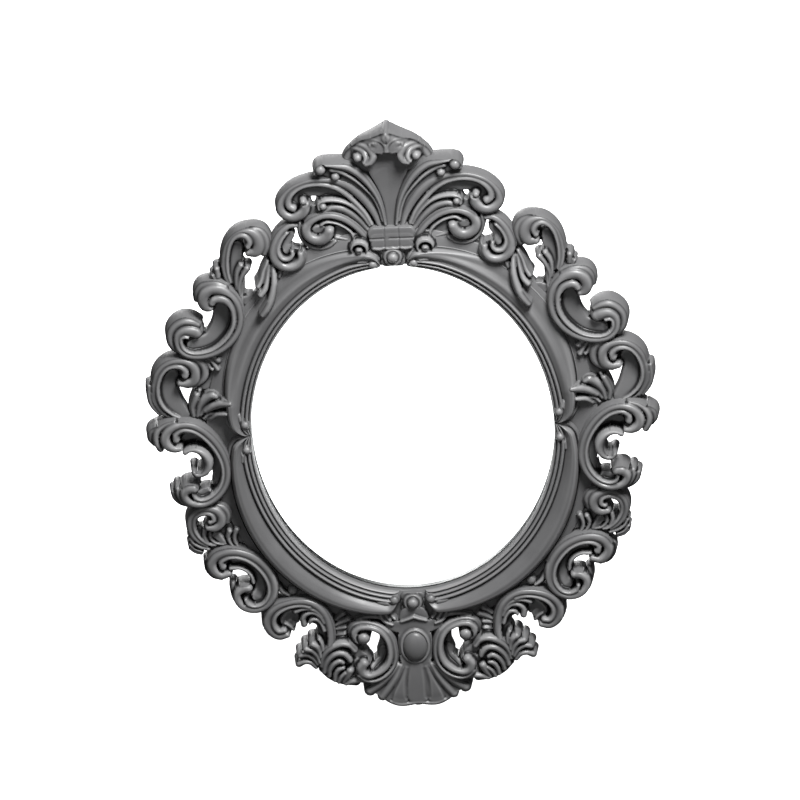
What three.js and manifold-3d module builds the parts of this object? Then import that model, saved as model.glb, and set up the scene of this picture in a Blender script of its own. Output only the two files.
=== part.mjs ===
// A carved oval picture frame: a jointed carcass, four crescent mouldings, carved ornaments on its edge,
// and the glass, retaining ring, turn buttons and hangers at its back. Millimetres, +Z up, front towards -Y.
// The origin is the centre of the oval opening on the back plane, and a height is measured from that plane.

import * as THREE from 'three';
import { mergeVertices } from 'three/addons/utils/BufferGeometryUtils.js';
import ManifoldModule from 'manifold-3d';

const wasm = await ManifoldModule();
wasm.setup();

// Opening and carcass
const sightHalfWidth = 151.5;
const sightHalfHeight = 176;
const ringSideWidth = 44.5;
const ringEndWidth = 40;
const ringDepth = 15;
const rebateWidth = 6;
const rebateDepth = 10;
const fitGap = 0.3;
const ovalSteps = 48;
const ringJointAngle = 45;
const tongueLength = 12;
const tongueWidth = 14;
const tongueThickness = 5;
const tongueHeight = 7;

// Glass and the ring that holds it
const glassThickness = 2;

// Mouldings
const lipHeight = 23;
const beadHeight = 25.5;
const quirkHeight = 24;
const crownHeight = 30;
const mouldingEdgeHeight = 17;
const mouldingEndWidth = 15;
const mouldingMidWidth = 37;
const mouldingSteps = 13;
const mouldingClearance = 1.5;
const scrollEndRadius = 5;
const scrollEndHeight = 28;
const scrollEndTaper = 0.55;
const scrollEndLip = 1;
const scrollEndTopInset = 3;
const scrollEndSideInset = 7;

// Bosses at the top and bottom of the opening
const bossPlinthHalfWidth = 12;
const bossPlinthLength = 20;
const bossPlinthHeight = 21;
const bossRingRadius = 8.7;
const bossRingHeight = 24;
const bossDomeRadius = 6;
const bossDomeTaper = 0.5;
const bossDomeHeight = 29;

// Carving: the slope of a carved wall from its foot to its top edge, and the chamfer on that edge
const wallDraft = 2.5;
const edgeChamfer = 1.2;
const cutterHeight = 60;
const leastTopShare = 0.4;
const endSides = 6;
const bendPerStep = 42;
const shapeTolerance = 0.35;
const cutTolerance = 0.1;
const leafPoints = 3;
const leastStep = 0.05;
const panelHeight = 19;

// Back hardware
const buttonThickness = 1.5;
const buttonPivotRadius = 5;
const buttonTipRadius = 3.4;
const buttonReach = 9;
const buttonPivotInset = 15;
const screwShankRadius = 1.4;
const screwHeadRadius = 3.2;
const screwHeadHeight = 1.6;
const screwLength = 9;
const hangerAngle = 30;
const strapWidth = 14;
const strapLength = 26;
const strapThickness = 1.2;
const knuckleRadius = 2.6;
const knuckleWidth = 8;
const hangerWireRadius = 1.1;
const hangerRingWidth = 20;
const hangerRingLength = 17;
const hangerScrewDrop = 20.5;
const hangerBowSteps = 10;
const hangerBowFullness = 0.7;

const ringHalfWidth = sightHalfWidth + ringSideWidth;
const ringHalfHeight = sightHalfHeight + ringEndWidth;
const screwHoleRadius = screwShankRadius + fitGap;

// Solids from rings of points

// A closed solid from loops of points, all with the same count, capped at both ends.
function loft(loops) {
  const count = loops[0].length;
  const positions = loops.flat().flatMap((point) => [point.x, point.y, point.z]);
  const triangles = [];
  for (let loop = 0; loop < loops.length - 1; loop += 1) {
    for (let i = 0; i < count; i += 1) {
      const a = loop * count + i;
      const b = loop * count + ((i + 1) % count);
      triangles.push(a, b, b + count, a, b + count, a + count);
    }
  }
  const last = (loops.length - 1) * count;
  for (let i = 1; i < count - 1; i += 1) {
    triangles.push(0, i + 1, i);
    triangles.push(last, last + i, last + i + 1);
  }
  return solidFrom(positions, triangles);
}

// Turns positions and triangles into a solid whose faces point outwards.
function solidFrom(positions, triangles) {
  const corner = (i) => new THREE.Vector3().fromArray(positions, 3 * triangles[i]);
  let volume = 0;
  for (let i = 0; i < triangles.length; i += 3) {
    volume += corner(i).dot(corner(i + 1).cross(corner(i + 2)));
  }
  const facing = volume > 0 ? triangles : triangles.slice().reverse();
  const mesh = new wasm.Mesh({
    numProp: 3,
    vertProperties: new Float32Array(positions),
    triVerts: new Uint32Array(facing),
  });
  return new wasm.Manifold(mesh);
}

function solidFromGeometry(geometry) {
  const bare = geometry.clone();
  bare.deleteAttribute('normal');
  bare.deleteAttribute('uv');
  const merged = mergeVertices(bare, 1e-4);
  return solidFrom(Array.from(merged.attributes.position.array), Array.from(merged.index.array));
}

function join(solids) {
  return wasm.Manifold.union(solids);
}

// Merges faces that lie within a tolerance of each other, across the strokes that were joined.
function simplified(solid, tolerance) {
  return solid.asOriginal().simplify(tolerance);
}

// A point at X, Z and a height above the back plane.
function at(x, z, height) {
  return new THREE.Vector3(x, -height, z);
}

function mirrored(solid) {
  return solid.mirror([1, 0, 0]);
}

// Offcuts are thrown away: only the largest body of a carved piece is kept.
function largestBody(solid) {
  const bodies = solid.decompose();
  return bodies.reduce((best, body) => (body.volume() > best.volume() ? body : best));
}

// Ovals

function ovalPoint(halfWidth, halfHeight, angle) {
  return new THREE.Vector2(halfWidth * Math.cos(angle), halfHeight * Math.sin(angle));
}

// A flat oval plate between two heights.
function ovalPlate(halfWidth, halfHeight, low, high) {
  const loops = [low, high].map((height) => {
    const loop = [];
    for (let i = 0; i < ovalSteps; i += 1) {
      const point = ovalPoint(halfWidth, halfHeight, (2 * Math.PI * i) / ovalSteps);
      loop.push(at(point.x, point.y, height));
    }
    return loop;
  });
  return loft(loops);
}

// The distance from the centre to an oval's edge, in the direction of an angle.
function edgeRadius(halfWidth, halfHeight, angle) {
  return 1 / Math.hypot(Math.cos(angle) / halfWidth, Math.sin(angle) / halfHeight);
}

function radians(degrees) {
  return THREE.MathUtils.degToRad(degrees);
}

// A box with its centre at X, Z, turned about the depth axis.
function block(x, z, low, high, lengthX, lengthZ, turn = 0) {
  const geometry = new THREE.BoxGeometry(lengthX, high - low, lengthZ);
  geometry.rotateY(-turn);
  geometry.translate(x, -(low + high) / 2, z);
  return solidFromGeometry(geometry);
}

// A cylinder whose axis runs from front to back.
function drum(x, z, radius, low, high, topRadius = radius, sides = 12) {
  const loops = [[radius, low], [topRadius, high]].map(([size, height]) => {
    const loop = [];
    for (let i = 0; i < sides; i += 1) {
      const angle = (2 * Math.PI * (i + 0.5)) / sides;
      loop.push(at(x + size * Math.cos(angle), z + size * Math.sin(angle), height));
    }
    return loop;
  });
  return loft(loops);
}

// Carcass

function ringBlank() {
  const outside = ovalPlate(ringHalfWidth, ringHalfHeight, 0, ringDepth);
  const opening = ovalPlate(sightHalfWidth, sightHalfHeight, -1, ringDepth + 1);
  const rebate = ovalPlate(sightHalfWidth + rebateWidth, sightHalfHeight + rebateWidth, -1, rebateDepth);
  return outside.subtract(opening).subtract(rebate);
}

// The quarter between two joints, drawn back from each joint plane by half the fit gap.
function quarterWedge(middleAngle) {
  const reach = 2 * (ringHalfWidth + ringHalfHeight);
  const corner = fitGap / 2 / Math.sin(radians(ringJointAngle));
  const spread = radians(ringJointAngle);
  const polar = [[corner, 0], [reach, -spread], [2 * reach, 0], [reach, spread]];
  const loops = [-1, ringDepth + 1].map((height) =>
    polar.map(([radius, turn]) => {
      const along = middleAngle + turn;
      const shift = radius === corner ? 0 : corner;
      const x = radius * Math.cos(along) + shift * Math.cos(middleAngle);
      const z = radius * Math.sin(along) + shift * Math.sin(middleAngle);
      return at(x, z, height);
    }),
  );
  return loft(loops);
}

// The tongue that crosses the joint at an angle, larger by a clearance when it cuts the groove.
function jointTongue(angle, clearance) {
  const inner = edgeRadius(sightHalfWidth + rebateWidth, sightHalfHeight + rebateWidth, angle);
  const outer = edgeRadius(ringHalfWidth, ringHalfHeight, angle);
  const radius = (inner + outer) / 2;
  const low = tongueHeight - tongueThickness / 2 - clearance;
  const high = tongueHeight + tongueThickness / 2 + clearance;
  const width = tongueWidth + 2 * clearance;
  const length = tongueLength + 2 * clearance;
  return block(radius * Math.cos(angle), radius * Math.sin(angle), low, high, width, length, angle);
}

function buttonPivots() {
  return [0, 90, 180, 270].map((degrees) => {
    const angle = radians(degrees);
    const inset = edgeRadius(sightHalfWidth + buttonPivotInset, sightHalfHeight + buttonPivotInset, angle);
    return { angle, x: inset * Math.cos(angle), z: inset * Math.sin(angle) };
  });
}

function hangerPlace(side) {
  const angle = side > 0 ? radians(hangerAngle) : Math.PI - radians(hangerAngle);
  const inner = edgeRadius(sightHalfWidth + rebateWidth, sightHalfHeight + rebateWidth, angle);
  const outer = edgeRadius(ringHalfWidth, ringHalfHeight, angle);
  const radius = (inner + outer) / 2;
  return { x: radius * Math.cos(angle), z: radius * Math.sin(angle) + strapLength / 2 };
}

function screwHoles() {
  const places = buttonPivots();
  places.push(...[-1, 1].map((side) => {
    const place = hangerPlace(side);
    return { x: place.x, z: place.z - hangerScrewDrop };
  }));
  const high = screwLength + fitGap;
  return join(places.map(({ x, z }) => drum(x, z, screwHoleRadius, -1, high, screwHoleRadius, 8)));
}

function ringSegments() {
  const blank = ringBlank().subtract(screwHoles());
  const names = ['ring_right', 'ring_top', 'ring_left', 'ring_bottom'];
  return names.map((name, index) => {
    const middle = (index * Math.PI) / 2;
    const start = middle - radians(ringJointAngle);
    const end = middle + radians(ringJointAngle);
    const quarter = blank.intersect(quarterWedge(middle));
    const solid = quarter.add(jointTongue(end, 0)).subtract(jointTongue(start, fitGap));
    return [name, solid];
  });
}

// Glass and retaining ring

function glassPane() {
  const reach = rebateWidth - fitGap;
  const high = rebateDepth - fitGap;
  return ovalPlate(sightHalfWidth + reach, sightHalfHeight + reach, high - glassThickness, high);
}

function retainingRing() {
  const reach = rebateWidth - fitGap;
  const high = rebateDepth - 2 * fitGap - glassThickness;
  const outside = ovalPlate(sightHalfWidth + reach, sightHalfHeight + reach, 0, high);
  return outside.subtract(ovalPlate(sightHalfWidth, sightHalfHeight, -1, high + 1));
}

// Crescent mouldings, worked out for the upper or lower right quarter and mirrored.

// The upper pair is widest near the side of the oval, and the lower pair swells evenly.
const upperCrescent = { vertical: 1, skew: 0.75, fullness: 0.85 };
const lowerCrescent = { vertical: -1, skew: 1, fullness: 0.6 };

// The width at a share of the quarter, from the side to the end: narrow at both ends, widest in the middle.
function mouldingWidth(share, skew, fullness) {
  const swell = Math.sin(Math.PI * Math.min(share, 1) ** skew) ** fullness;
  return mouldingEndWidth + (mouldingMidWidth - mouldingEndWidth) * swell;
}

// The section as shares of the width and heights, from the foot of the sight edge to the outer foot.
const mouldingSection = [[0, ringDepth + fitGap], [0, lipHeight], [0.12, beadHeight], [0.28, quirkHeight],
  [0.62, crownHeight], [0.9, mouldingEdgeHeight + 3], [1, mouldingEdgeHeight], [1, ringDepth + fitGap]];

function mouldingQuarter({ vertical, skew, fullness }) {
  const margin = fitGap / 2 / sightHalfHeight;
  const loops = [];
  for (let i = 0; i <= mouldingSteps; i += 1) {
    const share = i / mouldingSteps;
    const angle = margin + (Math.PI / 2 - margin) * share;
    const edge = ovalPoint(sightHalfWidth, sightHalfHeight, angle);
    const outward = ovalPoint(sightHalfHeight, sightHalfWidth, angle).normalize();
    if (i === 0) outward.set(1, 0);
    const width = mouldingWidth(share, skew, fullness);
    loops.push(mouldingSection.map(([part, height]) => {
      const point = edge.clone().addScaledVector(outward, part * width);
      return at(point.x, vertical * point.y, height);
    }));
  }
  return loft(loops);
}

// The round scroll ends that close a moulding beside the boss and at the side.
function scrollEnds(vertical) {
  const seat = ringDepth + fitGap;
  const inset = scrollEndRadius + scrollEndLip;
  const topX = bossPlinthHalfWidth + fitGap + inset + scrollEndTopInset;
  const topZ = sightHalfHeight * Math.sqrt(1 - (topX / sightHalfWidth) ** 2) + inset;
  const sideZ = fitGap / 2 + inset + scrollEndSideInset;
  const sideX = sightHalfWidth * Math.sqrt(1 - (sideZ / sightHalfHeight) ** 2) + inset;
  return [[topX, topZ], [sideX, sideZ]].map(([x, z]) =>
    drum(x, vertical * z, scrollEndRadius, seat, scrollEndHeight, scrollEndRadius * scrollEndTaper, 10));
}

function moulding(crescent) {
  const body = join([mouldingQuarter(crescent), ...scrollEnds(crescent.vertical)]);
  return simplified(body.subtract(bossSpace(crescent.vertical)), cutTolerance);
}

// Bosses

function bossCentre(vertical) {
  return vertical * (sightHalfHeight + bossPlinthLength / 2 + fitGap);
}

function boss(vertical) {
  const z = bossCentre(vertical);
  const seat = ringDepth + fitGap;
  const plinth = block(0, z, seat, bossPlinthHeight, 2 * bossPlinthHalfWidth, bossPlinthLength);
  const trimmed = plinth.subtract(ovalPlate(sightHalfWidth, sightHalfHeight, 0, cutterHeight));
  const ring = drum(0, z, bossRingRadius, seat, bossRingHeight, bossRingRadius - edgeChamfer, 16);
  const dome = drum(0, z, bossDomeRadius, seat, bossDomeHeight, bossDomeRadius * bossDomeTaper, 12);
  return join([trimmed, ring, dome]);
}

// The space a boss takes from its neighbours.
function bossSpace(vertical) {
  const width = 2 * (bossPlinthHalfWidth + fitGap);
  return block(0, bossCentre(vertical), 0, cutterHeight, width, bossPlinthLength + 2 * fitGap);
}

// Carving

// A route through [x, z, half width, height] points, as evenly bent steps.
function routeSteps(points) {
  const curve = new THREE.CatmullRomCurve3(
    points.map(([x, z]) => new THREE.Vector3(x, 0, z)), false, 'centripetal');
  const spans = points.length - 1;
  const steps = [];
  for (let span = 0; span < spans; span += 1) {
    const from = curve.getTangent(span / spans);
    const to = curve.getTangent((span + 1) / spans);
    const bend = THREE.MathUtils.radToDeg(from.angleTo(to));
    const parts = Math.max(1, Math.round(bend / bendPerStep));
    for (let part = 0; part < parts; part += 1) {
      steps.push(routeStep(curve, points, span, part / parts));
    }
  }
  steps.push(routeStep(curve, points, spans - 1, 1));
  return steps;
}

function routeStep(curve, points, span, share) {
  const place = (span + share) / (points.length - 1);
  const centre = curve.getPoint(place);
  const tangent = curve.getTangent(place);
  const [, , fromWidth, fromHeight] = points[span];
  const [, , toWidth, toHeight] = points[span + 1];
  return {
    centre,
    across: new THREE.Vector3(-tangent.z, 0, tangent.x),
    halfWidth: THREE.MathUtils.lerp(fromWidth, toWidth, share),
    height: THREE.MathUtils.lerp(fromHeight, toHeight, share),
  };
}

// A row of short solids between cross-sections. Where the route bends tighter than its own half width, the
// inner corners of neighbouring sections would pass each other, so they meet in their middle instead.
function chain(sections) {
  const solids = [];
  for (let i = 0; i < sections.length - 1; i += 1) {
    const from = sections[i].map((corner) => corner.clone());
    const to = sections[i + 1].map((corner) => corner.clone());
    const along = centreOf(to).sub(centreOf(from)).normalize();
    from.forEach((corner, k) => {
      if (to[k].clone().sub(corner).dot(along) >= leastStep) return;
      const middle = corner.clone().add(to[k]).divideScalar(2);
      corner.copy(middle).addScaledVector(along, -leastStep / 2);
      to[k].copy(middle).addScaledVector(along, leastStep / 2);
    });
    solids.push(loft([from, to]));
  }
  return solids;
}

function centreOf(corners) {
  const sum = corners.reduce((total, corner) => total.add(corner), new THREE.Vector3());
  return sum.divideScalar(corners.length);
}

// A long stroke ends round, and a short leaf is cut off square.
function roundEnds(points, steps) {
  return points.length > leafPoints ? [steps[0], steps.at(-1)] : [];
}

// The half width left between the chamfers of a stroke.
function topHalfWidth(halfWidth) {
  return Math.max(halfWidth - edgeChamfer, leastTopShare * halfWidth);
}

// A stroke of the carver's gouge: a drafted wall with a chamfered top along the route, with round ends.
function stroke(points) {
  const steps = routeSteps(points);
  const sections = steps.map(({ centre, across, halfWidth, height }) => {
    const top = topHalfWidth(halfWidth);
    const foot = halfWidth + wallDraft;
    return [[-foot, 0], [-top, height], [top, height], [foot, 0]].map(([offset, up]) =>
      at(centre.x + across.x * offset, centre.z + across.z * offset, up));
  });
  const solids = chain(sections);
  for (const { centre, halfWidth, height } of roundEnds(points, steps)) {
    const top = topHalfWidth(halfWidth);
    solids.push(drum(centre.x, centre.z, halfWidth + wallDraft, 0, height, top, endSides));
  }
  return join(solids);
}

// The space that a stroke needs from its neighbours, at every height.
function strokeCutter(points) {
  const steps = routeSteps(points);
  const reach = wallDraft + fitGap;
  const sections = steps.map(({ centre, across, halfWidth }) => {
    const foot = halfWidth + reach;
    return [[-foot, -1], [-foot, cutterHeight], [foot, cutterHeight], [foot, -1]].map(([offset, up]) =>
      at(centre.x + across.x * offset, centre.z + across.z * offset, up));
  });
  const solids = chain(sections);
  for (const { centre, halfWidth } of roundEnds(points, steps)) {
    const radius = halfWidth + reach;
    solids.push(drum(centre.x, centre.z, radius, -1, cutterHeight, radius, endSides));
  }
  return join(solids);
}

// The drawing of each ornament on the left half. Its seat is the angle at which it stands on the ring's edge
// and that edge's distance from the centre on the drawing, so it moves with the ring. The crest and the
// pendant are drawn from the edge itself, so their seats have no distance.
const crestSeat = { angle: 90 };
const pendantSeat = { angle: 270 };

const ornaments = [
  {
    name: 'crest_plume',
    seat: crestSeat,
    strokes: [
      [[-7, 1, 2, 18], [-11, 24, 3, 19], [-18, 40, 4.6, 21], [-29, 53, 5.6, 22], [-41, 63.5, 6, 24],
        [-51, 69, 5, 25], [-60, 72, 3.6, 25], [-67.5, 68, 5, 26]],
      [[-13, 20, 2, 18], [-31, 49, 3, 20], [-48, 60, 3.4, 21], [-54.5, 59, 3.6, 23]],
    ],
  },
  {
    name: 'crest_volute',
    seat: crestSeat,
    strokes: [
      [[-26.5, -10, 2.6, 20], [-32, 0.5, 3, 21], [-42, 9, 3.4, 22], [-54, 15, 3.6, 22],
        [-67, 17, 3.6, 22], [-79, 15, 4, 22], [-86, 7.5, 4.4, 23], [-86.5, -1.5, 4.6, 24],
        [-80.5, -9, 4.8, 25], [-72, -11.5, 4.8, 25], [-65, -7.5, 4.5, 25], [-63.5, -1, 4, 26]],
      [[-77, 5, 6, 17], [-62, 3, 8, 17], [-50, -2, 8, 17], [-43, -9, 6, 17]],
      [[-27, -12, 3, 20], [-28, -20.5, 3.6, 21], [-35, -24.5, 3.8, 22], [-39.5, -19, 4, 23],
        [-34.5, -16.5, 4.5, 24]],
    ],
  },
  {
    name: 'crest_scroll',
    seat: crestSeat,
    strokes: [
      [[-12, 1, 2, 17], [-22, 25, 4, 18], [-33, 40, 5, 19], [-46, 50, 5.5, 19], [-60, 54.5, 5.5, 20],
        [-74, 56, 5.2, 20], [-87, 55, 5.2, 20], [-98.5, 50, 5.4, 20], [-107, 40.5, 5.6, 20],
        [-109, 30, 6, 21], [-105.5, 21.5, 6.2, 22], [-97.5, 18.5, 6.4, 23], [-90, 23, 6, 24],
        [-87.5, 32, 5, 25]],
      [[-95, 40, 6, 12], [-92, 46, 4, 12], [-70, 47, 4, 12], [-57, 41, 5, 12], [-45, 33, 5, 13],
        [-33, 22, 4, 14]],
      [[-17, 0, 1.6, 17], [-31, 19, 2.6, 18], [-42, 27.5, 3, 19], [-53, 32, 3.2, 19],
        [-62, 33.5, 3.2, 19], [-69, 28.5, 3.6, 20]],
      [[-20, -4, 2.4, 16], [-35, 14, 4.5, 17], [-47, 22, 5.5, 18], [-60, 25.5, 5.5, 18],
        [-74, 25, 4.5, 17], [-84, 22, 3, 17]],
    ],
  },
  {
    name: 'crest_side_scroll',
    seat: crestSeat,
    strokes: [
      [[-101, 10, 4, 17], [-110, 6, 4, 19], [-116, -3, 4.2, 20], [-119, -13, 4.4, 21],
        [-119.5, -22.5, 4.6, 22], [-115.5, -30.5, 4.8, 23], [-107.5, -34.5, 4.8, 24],
        [-99, -32.5, 4.6, 24], [-94.5, -26, 4.2, 24], [-97, -19, 4, 25]],
      [[-108, -1, 4.5, 17], [-110, -12, 5, 18], [-106, -22, 6, 20]],
      [[-127, -30, 2, 18], [-131, -40, 3, 18], [-137, -52, 3.4, 19]],
      [[-126, -36, 2, 17], [-130, -50, 2.8, 18], [-136, -61, 3, 19]],
      [[-124, -38, 3, 18], [-124, -54, 5, 19], [-127, -69, 4.6, 19], [-134, -83, 4.4, 20]],
    ],
  },
  {
    name: 'upper_c_scroll',
    seat: { angle: 150, radius: 200.6 },
    strokes: [
      [[-188.5, 142.5, 4.5, 24], [-192.5, 150, 5, 24], [-189, 158, 5.4, 25], [-181, 161.5, 5.4, 26],
        [-171, 158.5, 5.4, 26], [-163, 149.5, 5.4, 26], [-160, 136, 5.4, 26], [-161, 121, 5.4, 26],
        [-168, 107.5, 5.4, 26], [-180, 98.5, 5.4, 26], [-195, 94.5, 5.4, 26], [-208, 96, 5.4, 26],
        [-217, 102.5, 5.4, 26], [-219, 112, 5.2, 26], [-213, 119.5, 5, 26], [-203, 119, 5, 25]],
      [[-178, 143, 6, 13], [-174, 130, 9, 13], [-178, 117, 10, 13], [-188, 107, 9, 14], [-202, 104, 7, 15]],
      [[-201, 130, 4.5, 18], [-212, 131.5, 5, 19], [-222, 127.5, 5.4, 20], [-227.5, 118, 5.4, 20],
        [-227, 108, 5, 20], [-221, 99.5, 3.6, 19]],
    ],
  },
  {
    name: 'shoulder_scroll',
    seat: { angle: 133, radius: 205.8 },
    strokes: [
      [[-144.5, 199, 5.6, 21], [-136.5, 200, 6.6, 23], [-132, 208, 7, 24], [-135, 218, 6.4, 24],
        [-144, 222.5, 5.2, 23], [-154, 220.5, 4.6, 22], [-162.5, 213, 4.2, 21], [-168, 203, 3.8, 20],
        [-171, 189, 3.6, 19], [-170, 175, 3.4, 18], [-165, 162, 3, 17]],
      [[-157, 208, 5, 15], [-160, 196, 8, 15], [-161, 183, 8, 15], [-162, 170, 6, 16], [-158, 154, 4, 17],
        [-155, 138, 2.5, 17]],
      [[-158, 158, 2.5, 17], [-157.5, 170, 3, 18], [-152, 182, 3.4, 20]],
      [[-155, 150, 2.5, 17], [-154, 165, 3, 18], [-147.5, 178, 3.6, 20]],
      [[-173, 168, 3, 12], [-177.5, 180, 3, 12]],
    ],
  },
  {
    name: 'waist_scroll',
    seat: { angle: 180, radius: 196 },
    strokes: [
      [[-226, -7, 4.4, 26], [-234, -6, 6, 28], [-238, 1, 6.5, 30], [-236, 9.5, 6, 30],
        [-228, 14.5, 5.4, 30], [-217, 15, 5.2, 29], [-205, 11.5, 5.2, 29], [-194.5, 3.5, 5.4, 28],
        [-186, -8, 5.6, 28], [-181.5, -21, 5.6, 27], [-181, -35, 5.4, 27], [-184.5, -48, 5.4, 26],
        [-191.5, -58.5, 5.4, 25], [-202, -64.5, 5.4, 24], [-212.5, -64, 5.4, 24], [-219, -57.5, 5.4, 24]],
      [[-239, -8, 4, 20], [-246, -1, 4.5, 22], [-246.5, 8, 4.5, 24], [-240, 16, 4.2, 25],
        [-229, 20.5, 3.4, 26], [-215, 19.5, 3.2, 26], [-203, 14.5, 2.6, 25]],
      [[-218, -9, 2.8, 33], [-212, -6.5, 3, 33], [-204, -9, 3.6, 33], [-197.5, -16, 4, 33],
        [-195.5, -26, 4, 33], [-198, -34, 3.6, 32], [-206, -37, 3, 31]],
      [[-219, 3, 5, 13], [-207, 1, 7, 13], [-195, -8, 7, 13], [-189, -22, 6, 13], [-188, -38, 5, 13],
        [-194, -50, 6, 13], [-206, -54, 6, 14]],
      [[-228, -51, 4.4, 20], [-230, -58.5, 4.5, 20], [-225, -66, 4, 20], [-214, -70.5, 3, 20]],
    ],
  },
  {
    name: 'waist_leaf',
    seat: { angle: 171, radius: 196.4 },
    strokes: [
      [[-204, 19, 3, 16], [-209, 32, 4, 18], [-205, 48, 4.4, 20]],
      [[-203, 24, 3, 16], [-200, 38, 5, 20], [-190, 46, 7, 22]],
      [[-203, 20, 3, 16], [-197, 31, 4, 18], [-187, 36, 4.6, 20], [-176, 36.5, 3.6, 20]],
      [[-200, 17, 2.4, 16], [-192, 25.5, 3, 18], [-179, 26.5, 2.8, 18]],
    ],
  },
  {
    name: 'flank_scroll',
    seat: { angle: 163, radius: 197.5 },
    strokes: [
      [[-219, 62, 4.6, 21], [-210.5, 62, 6, 23], [-203, 67.5, 7.5, 25], [-202.5, 77, 8, 25],
        [-210, 83.5, 6.6, 25], [-221, 84.5, 5.6, 24], [-232, 82, 5.2, 23], [-240.5, 75, 5, 22],
        [-245, 64, 5, 21], [-245.5, 52, 5, 20], [-242, 40, 4.6, 19], [-234, 29, 4, 18]],
      [[-229, 70, 5, 13], [-232, 58, 8, 13], [-228, 46, 11, 14], [-221, 35, 9, 15], [-213, 25, 7, 16]],
      [[-249.5, 58, 3, 12], [-250, 47, 3.2, 12], [-246, 35, 3.4, 12]],
      [[-199, 88, 3, 19], [-188, 89, 3.4, 20], [-179.5, 84, 3.8, 21]],
      [[-197, 85, 2.4, 18], [-189, 83, 2.4, 19], [-182.5, 76, 2.8, 20]],
      [[-196, 82, 2.4, 18], [-189, 75.5, 2.2, 20]],
    ],
  },
  {
    name: 'lower_c_scroll',
    seat: { angle: 221, radius: 204 },
    strokes: [
      [[-181.5, -144.5, 4, 23], [-190, -145.5, 5, 24], [-195, -139, 5.6, 25], [-193.5, -130.5, 5.8, 25],
        [-186.5, -125.5, 5.6, 25], [-175.5, -124.5, 5.6, 25], [-163.5, -127, 5.6, 25],
        [-152, -134.5, 5.6, 25], [-143.5, -145, 5.6, 25], [-139.5, -157, 5.4, 25],
        [-140, -168.5, 5.2, 25], [-146, -176.5, 5, 25], [-156, -180.5, 5, 25], [-166.5, -178.5, 5, 24],
        [-171, -170, 5, 24], [-165, -163, 4.4, 24]],
      [[-178, -135, 4, 15], [-165, -137.5, 5, 14], [-155, -146, 6, 14], [-150.5, -157, 6, 14],
        [-154, -168, 6, 15]],
      [[-178, -142.5, 2.4, 24], [-169, -143.5, 2.4, 24], [-162, -149, 2.4, 24], [-159.5, -157, 2.2, 23]],
      [[-177, -161, 3, 19], [-177, -172, 3, 19], [-171, -181, 3, 19], [-161, -184.5, 2.4, 19]],
      [[-134, -160, 2.4, 19], [-129, -168, 2.6, 20], [-121, -170, 4.6, 22]],
    ],
  },
  {
    name: 'hip_scroll',
    seat: { angle: 205, radius: 199 },
    strokes: [
      [[-197.5, -95.5, 4.2, 22], [-190.5, -94, 5.5, 24], [-186.5, -87, 6.4, 25], [-188.5, -79, 6.4, 25],
        [-196, -75.5, 5.4, 25], [-206, -75.5, 5, 24], [-214, -80, 4.6, 23], [-217.5, -88, 4.4, 22],
        [-217, -98, 4, 21], [-212.5, -108, 3.6, 19], [-205, -116, 3.2, 18]],
      [[-208, -101, 5, 15], [-203, -110, 5, 16], [-193, -112, 4.5, 17], [-184, -114, 2.6, 17]],
      [[-219, -107, 2.2, 15], [-212, -117, 3, 16], [-203, -121, 2.6, 16]],
      [[-201.5, -97, 3, 17], [-199, -107, 3.2, 17]],
      [[-179.5, -99, 2.8, 20], [-180.5, -108, 2.6, 19], [-178, -116, 2.4, 18]],
      [[-171.5, -98, 2.8, 20], [-173.5, -108, 2.6, 19], [-174, -116, 2.6, 18]],
    ],
  },
  {
    name: 'pendant_scroll',
    seat: pendantSeat,
    strokes: [
      [[-33, 10, 3.6, 24], [-45, 9.5, 4.4, 25], [-55, 6, 5, 26], [-58.5, -2, 5.4, 27],
        [-51.5, -7.5, 6, 27]],
      [[-47, 3.5, 4, 26], [-37, 2.5, 4.4, 27], [-28, -3, 4.8, 28], [-22.5, -13, 4.8, 29],
        [-22, -25, 4.8, 30], [-26, -36, 4.8, 31], [-34.5, -44, 4.8, 32], [-44.5, -46.5, 4.8, 32],
        [-52, -42, 5.4, 32], [-51, -34, 5.4, 32]],
      [[-33, -27, 4.4, 14], [-38, -35, 5, 15], [-45, -38, 4, 16]],
    ],
  },
  {
    name: 'foot_scroll',
    seat: { angle: 241, radius: 210.5 },
    strokes: [
      [[-126, -212.5, 4.6, 21], [-135, -213, 5, 22], [-142, -206.5, 5.4, 23], [-142, -196.5, 5.6, 24],
        [-136.5, -188, 5.6, 25], [-127, -183, 5.4, 25], [-116, -181.5, 5.4, 26], [-104.5, -182.5, 5.6, 27],
        [-95, -188, 5.8, 28], [-88.5, -197, 5.6, 28], [-85.5, -209, 5.2, 28], [-86, -222, 5, 28]],
      [[-124, -205, 7, 16], [-127, -198, 8, 16], [-117, -193, 6, 17]],
      [[-115, -189, 3.4, 24], [-105, -189.5, 3.4, 26], [-97, -196, 4, 27]],
      [[-107.5, -202, 3.2, 24], [-104.5, -196, 3.2, 25]],
      [[-99, -222, 4.4, 28], [-94, -232, 4, 29]],
      [[-107, -230, 4.6, 26], [-98, -237, 4.6, 29]],
      [[-113, -240.5, 4.6, 25], [-103, -243, 5, 28], [-95, -246, 4, 29]],
      [[-89, -228, 4, 28], [-91, -238, 4, 29]],
    ],
  },
  {
    name: 'foot_shell',
    seat: { angle: 252, radius: 213.8 },
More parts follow.
